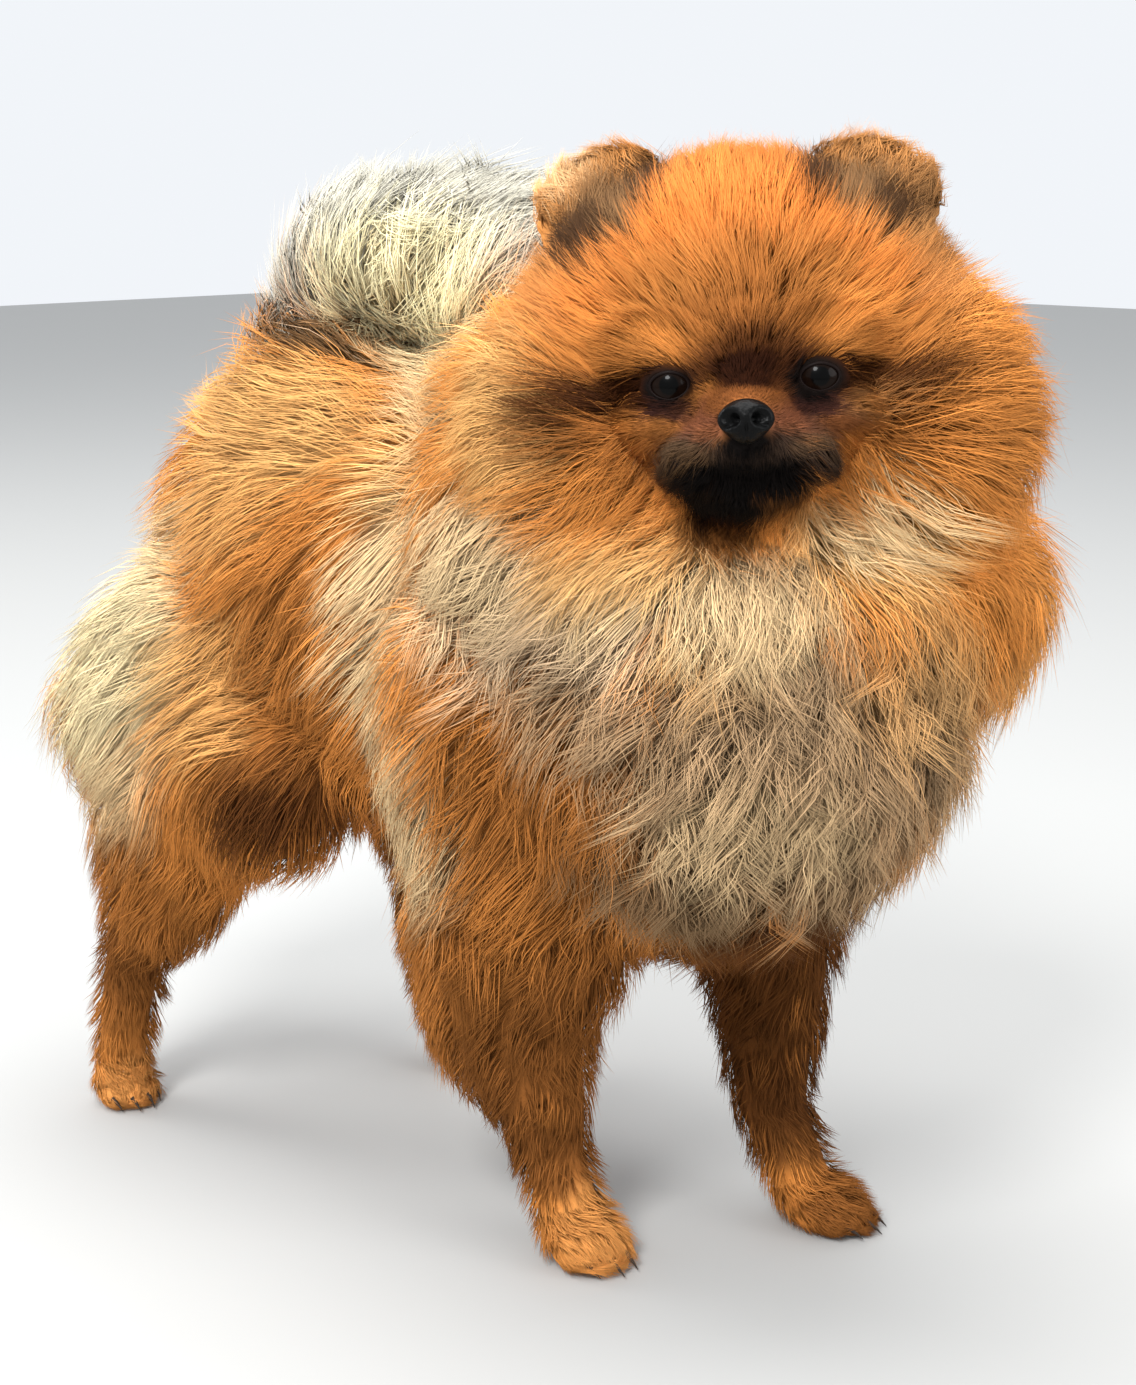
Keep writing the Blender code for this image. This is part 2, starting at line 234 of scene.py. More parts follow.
# The body under the coat: round forms, each with its middle and its radii in centimetres
skinLumps = {
    "body": {
        "ribs": [((0, -2.5, 18.1), (5.4, 7.3, 6.2))],
        "loin": [((0, 3.2, 18.2), (5.0, 5.8, 5.8))],
        "croup": [((0, 6.6, 18.0), (3.7, 4.8, 5.6))],
        "rump": [((0, 9.2, 14.5), (4.0, 3.1, 4.4))],
        "saddle": [((0, 1.5, 21.8), (3.7, 6.4, 2.8))],
        "tailBase": [((0, 4.4, 22.6), (3.7, 3.5, 3.3))],
        "belly": [((0, 0.5, 13.0), (3.7, 5.5, 1.7))],
        "mane": [((-0.6, -8.8, 20.6), (6.1, 5.5, 5.9))],
        "nape": [((-1.2, -7.5, 23.6), (4.3, 4.3, 2.9))],
        "collar": [((1.0, -11.4, 18.9), (7.4, 6.2, 3.7))],
        "bib": [((-0.9, -11.9, 16.5), (5.5, 5.1, 5.3))],
        "breast": [((0, -9.9, 12.9), (4.1, 4.0, 3.2))],
        "shoulderRight": [((-4.3, -7.0, 15.1), (2.6, 3.8, 4.8))],
        "shoulderLeft": [((4.3, -8.0, 15.1), (2.5, 3.8, 4.8))],
        "flankRight": [((-3.9, 4.8, 12.2), (2.1, 3.3, 2.7))],
        "flankLeft": [((3.9, 3.0, 12.5), (2.1, 3.3, 2.7))],
        "thighRight": [((-3.8, 8.0, 13.6), (2.3, 3.8, 4.4))],
        "thighLeft": [((4.2, 6.4, 13.8), (2.3, 3.6, 4.4))],
        "pantsRight": [((-3.4, 10.6, 13.1), (2.1, 2.6, 2.8))],
        "pantsLeft": [((3.4, 9.9, 13.5), (2.1, 2.6, 2.8))],
        "tailSet": [((0.2, 4.8, 26.0), (1.7, 1.5, 1.7))],
        "tailRise": [((0.4, 3.2, 27.1), (2.5, 2.1, 1.9))],
        "plume": [((0.6, 0, 27.4), (3.4, 3.3, 1.6))],
        "plumeTip": [((0.8, -3.2, 26.9), (2.9, 2.2, 1.7))],
    },
    "head": {
        "cranium": [((0, 4.6, 0.9), (4.9, 4.2, 3.6))],
        "forehead": [((0, 2.7, 2.5), (3.3, 2.2, 2.2))],
        "face": [((0, 1.85, 0.1), (3.05, 2.1, 2.15))],
        "cheeks": bothSides((3.9, 4.1, -1.3), (2.6, 2.7, 3.2)),
        "throat": [((0, 3.2, -3.8), (2.9, 2.3, 1.6))],
        "brows": bothSides((1.75, 0.95, 0.82), (1.1, 0.85, 0.5)),
        "underEyes": bothSides((1.8, 0.75, -0.85), (1.15, 0.8, 0.6)),
        "stop": [((0, 0.7, 0.3), (0.9, 0.8, 1.1))],
        "bridge": [((0, -0.5, -0.78), (1.0, 1.88, 0.76))],
        "muzzle": [((0, -0.5, -1.45), (1.38, 1.8, 0.9))],
        "lips": bothSides((0.9, -0.25, -1.85), (1.02, 1.4, 0.8)),
        "chin": [((0, 0.1, -2.6), (1.2, 1.36, 0.62))],
        "earRootRight": [((-2.9, 4.0, 3.2), (1.4, 1.0, 1.5))],
        "earRootLeft": [((3.0, 4.0, 3.0), (1.4, 1.0, 1.5))],
    },
}
limbStations = {  # place, radius across, radius along, from the body down to the foot
    "foreRight": (
        ((-3.7, -6.6, 12.2), 2.4, 3.0),
        ((-3.4, -6.1, 8.8), 2.0, 3.2),
        ((-3.3, -5.6, 7.2), 1.7, 2.7),
        ((-3.2, -5.8, 5.7), 1.4, 2.45),
        ((-3.0, -6.65, 4.1), 1.05, 1.55),
        ((-2.95, -7.1, 3.0), 0.86, 0.95),
        ((-2.9, -7.6, 1.6), 0.88, 0.92),
    ),
    "foreLeft": (
        ((3.6, -8.9, 12.0), 2.3, 2.7),
        ((3.4, -9.6, 8.0), 1.55, 2.0),
        ((3.3, -9.85, 6.6), 1.3, 1.7),
        ((3.3, -9.9, 5.0), 1.1, 1.3),
        ((3.3, -10.0, 3.5), 0.98, 1.06),
        ((3.4, -10.5, 2.4), 0.9, 0.92),
        ((3.5, -11.0, 1.3), 0.88, 0.9),
    ),
    "hindRight": (
        ((-4.1, 7.8, 11.2), 2.3, 3.4),
        ((-4.5, 8.8, 7.3), 1.35, 2.25),
        ((-4.6, 10.4, 5.3), 0.9, 1.0),
        ((-4.7, 10.8, 3.5), 0.84, 0.87),
        ((-4.75, 11.1, 1.6), 0.8, 0.82),
    ),
    "hindLeft": (
        ((4.2, 5.6, 11.2), 2.3, 3.1),
        ((4.5, 5.2, 7.3), 1.35, 2.0),
        ((4.7, 6.4, 5.3), 0.9, 1.0),
        ((4.85, 6.2, 3.5), 0.84, 0.87),
        ((5.0, 5.8, 1.6), 0.8, 0.82),
    ),
}
limbLook = {"spacing": 0.55, "faces": (16, 10)}
feet = {
    "pad": ((0, 0.1, 0.72), (0.92, 0.96, 0.68)),
    "toes": (  # sideways, forwards, radius
        (-0.86, 0.48, 0.44),
        (-0.31, 0.88, 0.47),
        (0.31, 0.88, 0.47),
        (0.86, 0.48, 0.44),
    ),
    "toeHeight": 0.42,
    "toeLength": 1.5,
    "toeRise": 1.08,
    "toeShare": 0.74,
    "clawLength": 0.62,
    "clawRadius": 0.095,
    "clawPoint": 0.12,
    "clawRings": (0.25, 0.5, 0.75),
    "clawDroop": 21.6,
    "clawCurl": 0.14,
    "clawBack": 0.72,
    "clawApart": 1.04,
    "clawRise": 0.06,
    "clawSplay": 14.0,
}
ears = {
    "right": ((-3.2, 4.0, 4.5), (-12, -10, -10)),
    "left": ((3.25, 4.0, 4.35), (-12, 10, 10)),
    "radii": (2.1, 0.62, 1.5),
    "faces": (28, 18),
    "frontFrom": -0.02,
    "hollow": -0.3,
}
skinLook = {  # metres, but the finer parts of the face are centimetres in the head's frame
    "voxel": 0.0021,
    "rounds": 5,
    "outerVoxel": 0.0025,
    "outerRounds": 4,
    "finer": (((0, 0.2, -0.8), (4.2, 3.0, 3.6)), ((0, -0.6, -0.9), (3.0, 2.0, 2.6))),
    "lieShare": 0.42,  # the coat is no deeper than this share of a lock's length
    "leastRise": 0.0005,
    "mostRise": 0.0135,
    "ownSide": 0.25,
    "mostThin": 0.012,
    "riseRounds": 12,
    "lastRounds": 3,
    "lidFaces": (32, 20),
    "unwrapAngle": 80,
    "unwrapMargin": 0.002,
}


def addEar(side):
    centre, tilt = ears[side]
    ear = addLump("head", centre, ears["radii"], tilt, *ears["faces"])
    places = placesOf(ear)
    front = places[:, 1] < ears["frontFrom"]
    places[front, 1] *= ears["hollow"]  # the front of the ear is pushed in to a cup
    setPlaces(ear, places)
    return ear


def addBall(frameName, centre, radii):
    return addLump(frameName, centre, radii, (0, 0, 0), *limbLook["faces"])


def addLimb(stations):
    balls = []
    for (a, acrossA, alongA), (b, acrossB, alongB) in zip(stations, stations[1:]):
        steps = max(2, round((Vector(b) - Vector(a)).length / limbLook["spacing"]))
        for i in range(steps):
            t = i / steps
            across = acrossA + (acrossB - acrossA) * t
            along = alongA + (alongB - alongA) * t
            balls.append(addBall("body", Vector(a).lerp(b, t), (across, along, across)))
    place, across, along = stations[-1]
    balls.append(addBall("body", place, (across, along, across)))
    return balls


def addFoot(pawName):
    balls = [addLump(pawName, *feet["pad"])]
    for side, forward, radius in feet["toes"]:
        r = radius * feet["toeShare"]
        toe = (r, r * feet["toeLength"], r * feet["toeRise"])
        balls.append(addBall(pawName, (side, -forward, feet["toeHeight"]), toe))
    return balls


# Eyes: the ball, the lids' opening in the plane of the eye, and the way it looks
eye = {
    "apart": 1.74,
    "depth": 0.62,
    "radius": 0.76,
    "lidCover": 0.05,
    "wide": 0.47,
    "highUp": 0.31,
    "highDown": 0.34,
    "outward": 0.06,
    "upward": 0.02,
    "corner": 1.8,  # the lids' opening is pointed at its ends
    "bulge": 0.05,
    "bulgeFrom": 8.0,
    "corneaAngle": 38.0,
    "rimRadius": 0.024,
    "rimTop": 0.35,
    "rimWide": 1.3,
    "rimOff": 0.03,
}
lidFold = {  # measured outwards from the opening of the lids
    "inside": 0.4,
    "sunken": 0.9,
    "lidTo": 3.4,
    "lidFull": 2.0,
    "lidReach": 0.5,
    "foldAt": 3.0,
    "foldWidth": 0.9,
    "foldHeight": 0.05,
}
mouth = {
    "height": -2.12,
    "depth": 0.14,
    "smile": 0.1,
    "smilePower": 1.5,
    "dip": 0.05,
    "dipWidth": 0.4,
    "lipWidth": 0.11,
    "back": 0.7,
    "wide": 2.1,
    "spread": 0.5,
    "grooveWidth": 0.07,
    "grooveDepth": 0.06,
    "grooveFront": -1.2,
    "grooveTop": -1.1,
    "grooveFade": 0.1,
    "headReach": 6,
}
bare = {  # where the skin keeps its own shape: centimetres from the eyes, shares of the ear's reach
    "eye": (1.7, 1.1),
    "earMiddle": (0, 0, 0.3),
    "earReach": (2.0, 1.2, 1.9),
    "ear": (1.15, 0.85),
}


def eyeAxes(side):
    gaze = unit(np.array((side * eye["outward"], -1.0, eye["upward"])))
    up = unit(np.array((0, 0, 1.0)) - gaze * gaze[2])
    across = np.cross(up, gaze)
    return np.array((side * eye["apart"], eye["depth"], 0.0)), gaze, across, up


def lidMeasure(headPlaces, side):
    # Under 1 inside the opening of the lids; also the distance from the eye's middle
    centre, gaze, across, up = eyeAxes(side)
    rel = headPlaces - centre
    u, v, ahead = rel @ across, rel @ up, rel @ gaze
    high = np.where(v > 0, eye["highUp"], eye["highDown"])
    measure = np.abs(u / eye["wide"]) ** eye["corner"] + (v / high) ** 2
    farOff = 9.0
    return np.where(ahead > 0, measure, farOff), np.linalg.norm(rel, axis=1)


def makeSkin():
    parts = []
    for frameName, lumps in skinLumps.items():
        parts += [addLump(frameName, *row) for rows in lumps.values() for row in rows]
    for stations in limbStations.values():
        parts += addLimb(stations)
    for pawName in stand["paws"]:
        parts += addFoot(pawName)
    parts += [addEar("right"), addEar("left")]
    lidRadius = eye["radius"] + eye["lidCover"]
    for side in (-1, 1):
        middle = (side * eye["apart"], eye["depth"], 0)
        parts.append(addLump("head", middle, [lidRadius] * 3, (0, 0, 0), *skinLook["lidFaces"]))
    skin = joined(parts, "skin")
    useModifier(skin, "REMESH", mode="VOXEL", voxel_size=skinLook["voxel"])
    useModifier(skin, "SMOOTH", factor=0.5, iterations=skinLook["rounds"])
    # The face gets finer faces for its lids, lips and folds
    for centre, reach in skinLook["finer"]:
        near = np.linalg.norm((into("head", placesOf(skin)) - centre) / reach, axis=1) < 1
        justThis(skin)
        skin.data.vertices.foreach_set("select", near)
        for rows in (skin.data.edges, skin.data.polygons):
            rows.foreach_set("select", [all(near[v] for v in row.vertices) for row in rows])
        bpy.ops.object.mode_set(mode="EDIT")
        bpy.ops.mesh.subdivide(number_cuts=1, smoothness=0.6)
        bpy.ops.object.mode_set(mode="OBJECT")
    justThis(skin)
    bpy.ops.object.mode_set(mode="EDIT")
    bpy.ops.mesh.select_all(action="SELECT")
    bpy.ops.mesh.quads_convert_to_tris()
    angle = math.radians(skinLook["unwrapAngle"])
    bpy.ops.uv.smart_project(angle_limit=angle, island_margin=skinLook["unwrapMargin"])
    bpy.ops.object.mode_set(mode="OBJECT")
    skin.data.uv_layers[0].name = "OFBake"
    bpy.ops.object.shade_smooth()
    return skin


def bareness(world):
    # One at the eyes and ears, where the skin keeps its own shape under the hair
    places = into("head", world)
    near = np.zeros(len(places))
    for side in (-1, 1):
        far = np.linalg.norm(places - eyeAxes(side)[0], axis=1)
        near = np.maximum(near, smoothStep(*bare["eye"], far))
        word = "left" if side > 0 else "right"
        rel = places - ears[word][0] - bare["earMiddle"]
        far = np.linalg.norm(rel / bare["earReach"], axis=1)
        near = np.maximum(near, smoothStep(*bare["ear"], far))
    return near


def raiseSkin(skin, shell):
    # The skin comes up under the coat until the hair above it can lie down
    places = placesOf(skin)
    shellTree, _ = treeOf(shell)
    outer, shellNormals, _ = nearestOn(shellTree, places)
    rise = outer - places
    outside = (rise * shellNormals).sum(axis=1) < 0
    normals = normalsOf(skin)
    least = normals * skinLook["leastRise"]
    rise = np.where(outside[:, None], least, rise + least * 0.5)
    # Where a thin part is nearer to its other side, the hair still stands on its own side
    wrong = (unit(rise) * normals).sum(axis=1) < skinLook["ownSide"]
    for i in np.flatnonzero(wrong & ~outside):
        hit = shellTree.ray_cast(places[i].tolist(), normals[i].tolist())[3]
        rise[i] = normals[i] * min(hit if hit is not None else skinLook["leastRise"], skinLook["mostThin"])
    rise = softened(skin, rise, skinLook["riseRounds"])
    high = np.linalg.norm(rise, axis=1)
    _, sizes, _ = coatAt(places)
    most = np.minimum(sizes[:, 0] * mm * cm * skinLook["lieShare"], skinLook["mostRise"])
    lift = np.maximum(high - most, 0) * (1 - bareness(places))
    way = rise / np.maximum(high, 1e-6)[:, None]
    setPlaces(skin, places + way * lift[:, None])
    left = np.minimum(high - lift, most)
    return softened(skin, way * left[:, None], skinLook["lastRounds"])


def shapeFace(skin):
    world = placesOf(skin)
    places = into("head", world)
    nearHead = np.linalg.norm(places, axis=1) < mouth["headReach"]
    for side in (-1, 1):
        centre, _, across, up = eyeAxes(side)
        measure, far = lidMeasure(places, side)
        rel = unit(places - centre)
        inside = (measure < 1.0) & (far < eye["radius"] + lidFold["inside"])
        places[inside] = centre + rel[inside] * (eye["radius"] * lidFold["sunken"])
        lid = (measure >= 1.0) & (measure < lidFold["lidTo"]) & (far < eye["radius"] + lidFold["lidReach"])
        below = (places - centre) @ up < 0
        fold = np.exp(-(((measure - lidFold["foldAt"]) / lidFold["foldWidth"]) ** 2))
        fold = lidFold["foldHeight"] * fold * below
        goal = centre + rel * (eye["radius"] + eye["lidCover"] + fold)[:, None]
        share = smoothStep(lidFold["lidTo"], lidFold["lidFull"], measure)[:, None]
        places = np.where(lid[:, None], places + (goal - places) * share, places)
    # The mouth is a crease under the upper lips, higher at the corners
    x, y, z = places.T
    smile = mouth["smile"] * np.abs(x) ** mouth["smilePower"]
    line = mouth["height"] + smile - mouth["dip"] * np.exp(-((x / mouth["dipWidth"]) ** 2))
    inMouth = (y < mouth["back"]) * (np.abs(x) < mouth["wide"])
    crease = np.exp(-(((z - line) / mouth["lipWidth"]) ** 2)) * inMouth * nearHead
    underNose = (y < mouth["grooveFront"]) * (z < mouth["grooveTop"])
    groove = np.exp(-((x / mouth["grooveWidth"]) ** 2)) * underNose
    groove = groove * smoothStep(line, line + mouth["grooveFade"], z)
    inward = unit(np.stack((-x * mouth["spread"], np.full_like(x, 1.0), np.zeros_like(x)), axis=1))
    places += inward * ((crease * mouth["depth"] + groove * mouth["grooveDepth"] * nearHead)[:, None])
    setPlaces(skin, np.where(nearHead[:, None], outOf("head", places), world))


# The coat's outer surface, from the solids
def makeEnvelope():
    copies = []
    for name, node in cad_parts.items():
        if name.startswith(("claw", "eye", "nose")):
            continue
        twin = bpy.data.objects.new("envelope", node.data.copy())
        bpy.context.scene.collection.objects.link(twin)
        copies.append(twin)
    shell = joined(copies, "envelope")
    useModifier(shell, "REMESH", mode="VOXEL", voxel_size=skinLook["outerVoxel"])
    useModifier(shell, "SMOOTH", factor=0.5, iterations=skinLook["outerRounds"])
    return shell


def treeOf(obj):
    obj.data.calc_loop_triangles()
    corners = np.empty(len(obj.data.loop_triangles) * 3, np.int32)
    obj.data.loop_triangles.foreach_get("vertices", corners)
    corners = corners.reshape(-1, 3)
    return BVHTree.FromPolygons(placesOf(obj).tolist(), corners.tolist()), corners


def nearestOn(tree, points):
    found = [tree.find_nearest(p) for p in points.tolist()]
    places = np.array([f[0] for f in found])
    faces = np.array([f[2] for f in found])
    normals = np.array([f[1] for f in found])
    return places, normals, faces


def normalsOf(obj):
    normals = np.empty(len(obj.data.vertices) * 3, np.float32)
    obj.data.vertices.foreach_get("normal", normals)
    return normals.reshape(-1, 3).astype(float)


def softened(obj, values, rounds):
    # Each value moves to the mean of its neighbours'
    ends = np.empty(len(obj.data.edges) * 2, np.int32)
    obj.data.edges.foreach_get("vertices", ends)
    a, b = ends.reshape(-1, 2).T
    count = np.bincount(a, minlength=len(values)) + np.bincount(b, minlength=len(values))
    for _ in range(rounds):
        total = np.zeros_like(values)
        for k in range(values.shape[1]):
            column = values[:, k]
            total[:, k] = np.bincount(a, column[b], len(values)) + np.bincount(b, column[a], len(values))
        values = 0.5 * values + 0.5 * total / np.maximum(count, 1)[:, None]
    return values


# Colours of the coat, at the roots and at the tips. The darker root colours are partly the hair's own and
# partly painted shade deep in the coat.
coatColours = {
    "orange": ((0.36, 0.115, 0.022), (0.86, 0.32, 0.07)),
    "bright": ((0.40, 0.115, 0.021), (0.74, 0.225, 0.045)),
    "gold": ((0.46, 0.20, 0.055), (0.98, 0.54, 0.19)),
    "cream": ((0.56, 0.37, 0.19), (0.98, 0.71, 0.385)),
    "sand": ((0.30, 0.18, 0.09), (0.98, 0.65, 0.34)),
    "ivory": ((0.48, 0.42, 0.31), (0.63, 0.60, 0.50)),
    "paleGold": ((0.98, 0.73, 0.37), (0.98, 0.87, 0.52)),
    "grey": ((0.14, 0.092, 0.052), (0.86, 0.61, 0.37)),
    # This grey-brown is partly the sable hair's own colour and partly painted shade, darkened for the chest,
    # which lies in shade.
    "sable": ((0.09, 0.054, 0.028), (0.52, 0.34, 0.185)),
    # This dark grey-brown is only used as painted shade at the bottom of the chest.
    "paintedShadeSmoke": ((0.08, 0.05, 0.028), (0.26, 0.165, 0.085)),
    "rust": ((0.10, 0.033, 0.008), (0.30, 0.108, 0.026)),
    # This dark rust is only used as painted shade: under the chest and belly, and on the left foreleg.
    "paintedShadeRust": ((0.045, 0.015, 0.004), (0.135, 0.047, 0.012)),
    "russet": ((0.20, 0.062, 0.013), (0.50, 0.185, 0.042)),
    "chestnut": ((0.09, 0.028, 0.007), (0.25, 0.082, 0.018)),
    "paw": ((0.34, 0.115, 0.024), (0.84, 0.36, 0.10)),
    "brown": ((0.028, 0.009, 0.003), (0.085, 0.027, 0.008)),
    "umber": ((0.06, 0.032, 0.014), (0.21, 0.112, 0.048)),
    "earDark": ((0.02, 0.009, 0.004), (0.06, 0.028, 0.012)),
    "tan": ((0.21, 0.09, 0.03), (0.62, 0.28, 0.09)),
    "cocoa": ((0.006, 0.0018, 0.0008), (0.024, 0.0065, 0.0025)),
    "plum": ((0.016, 0.006, 0.005), (0.045, 0.017, 0.014)),
    "pink": ((0.10, 0.032, 0.015), (0.25, 0.086, 0.04)),
    "soot": ((0.012, 0.009, 0.008), (0.06, 0.042, 0.032)),
    "black": ((0.002, 0.0015, 0.0015), (0.006, 0.0045, 0.004)),
}
markLook = {
    "wobbles": ((0.035, 0.13, 3), (0.012, 0.08, 4)),  # size, amount, seed
    "edge": (1.2, 0.65),
}
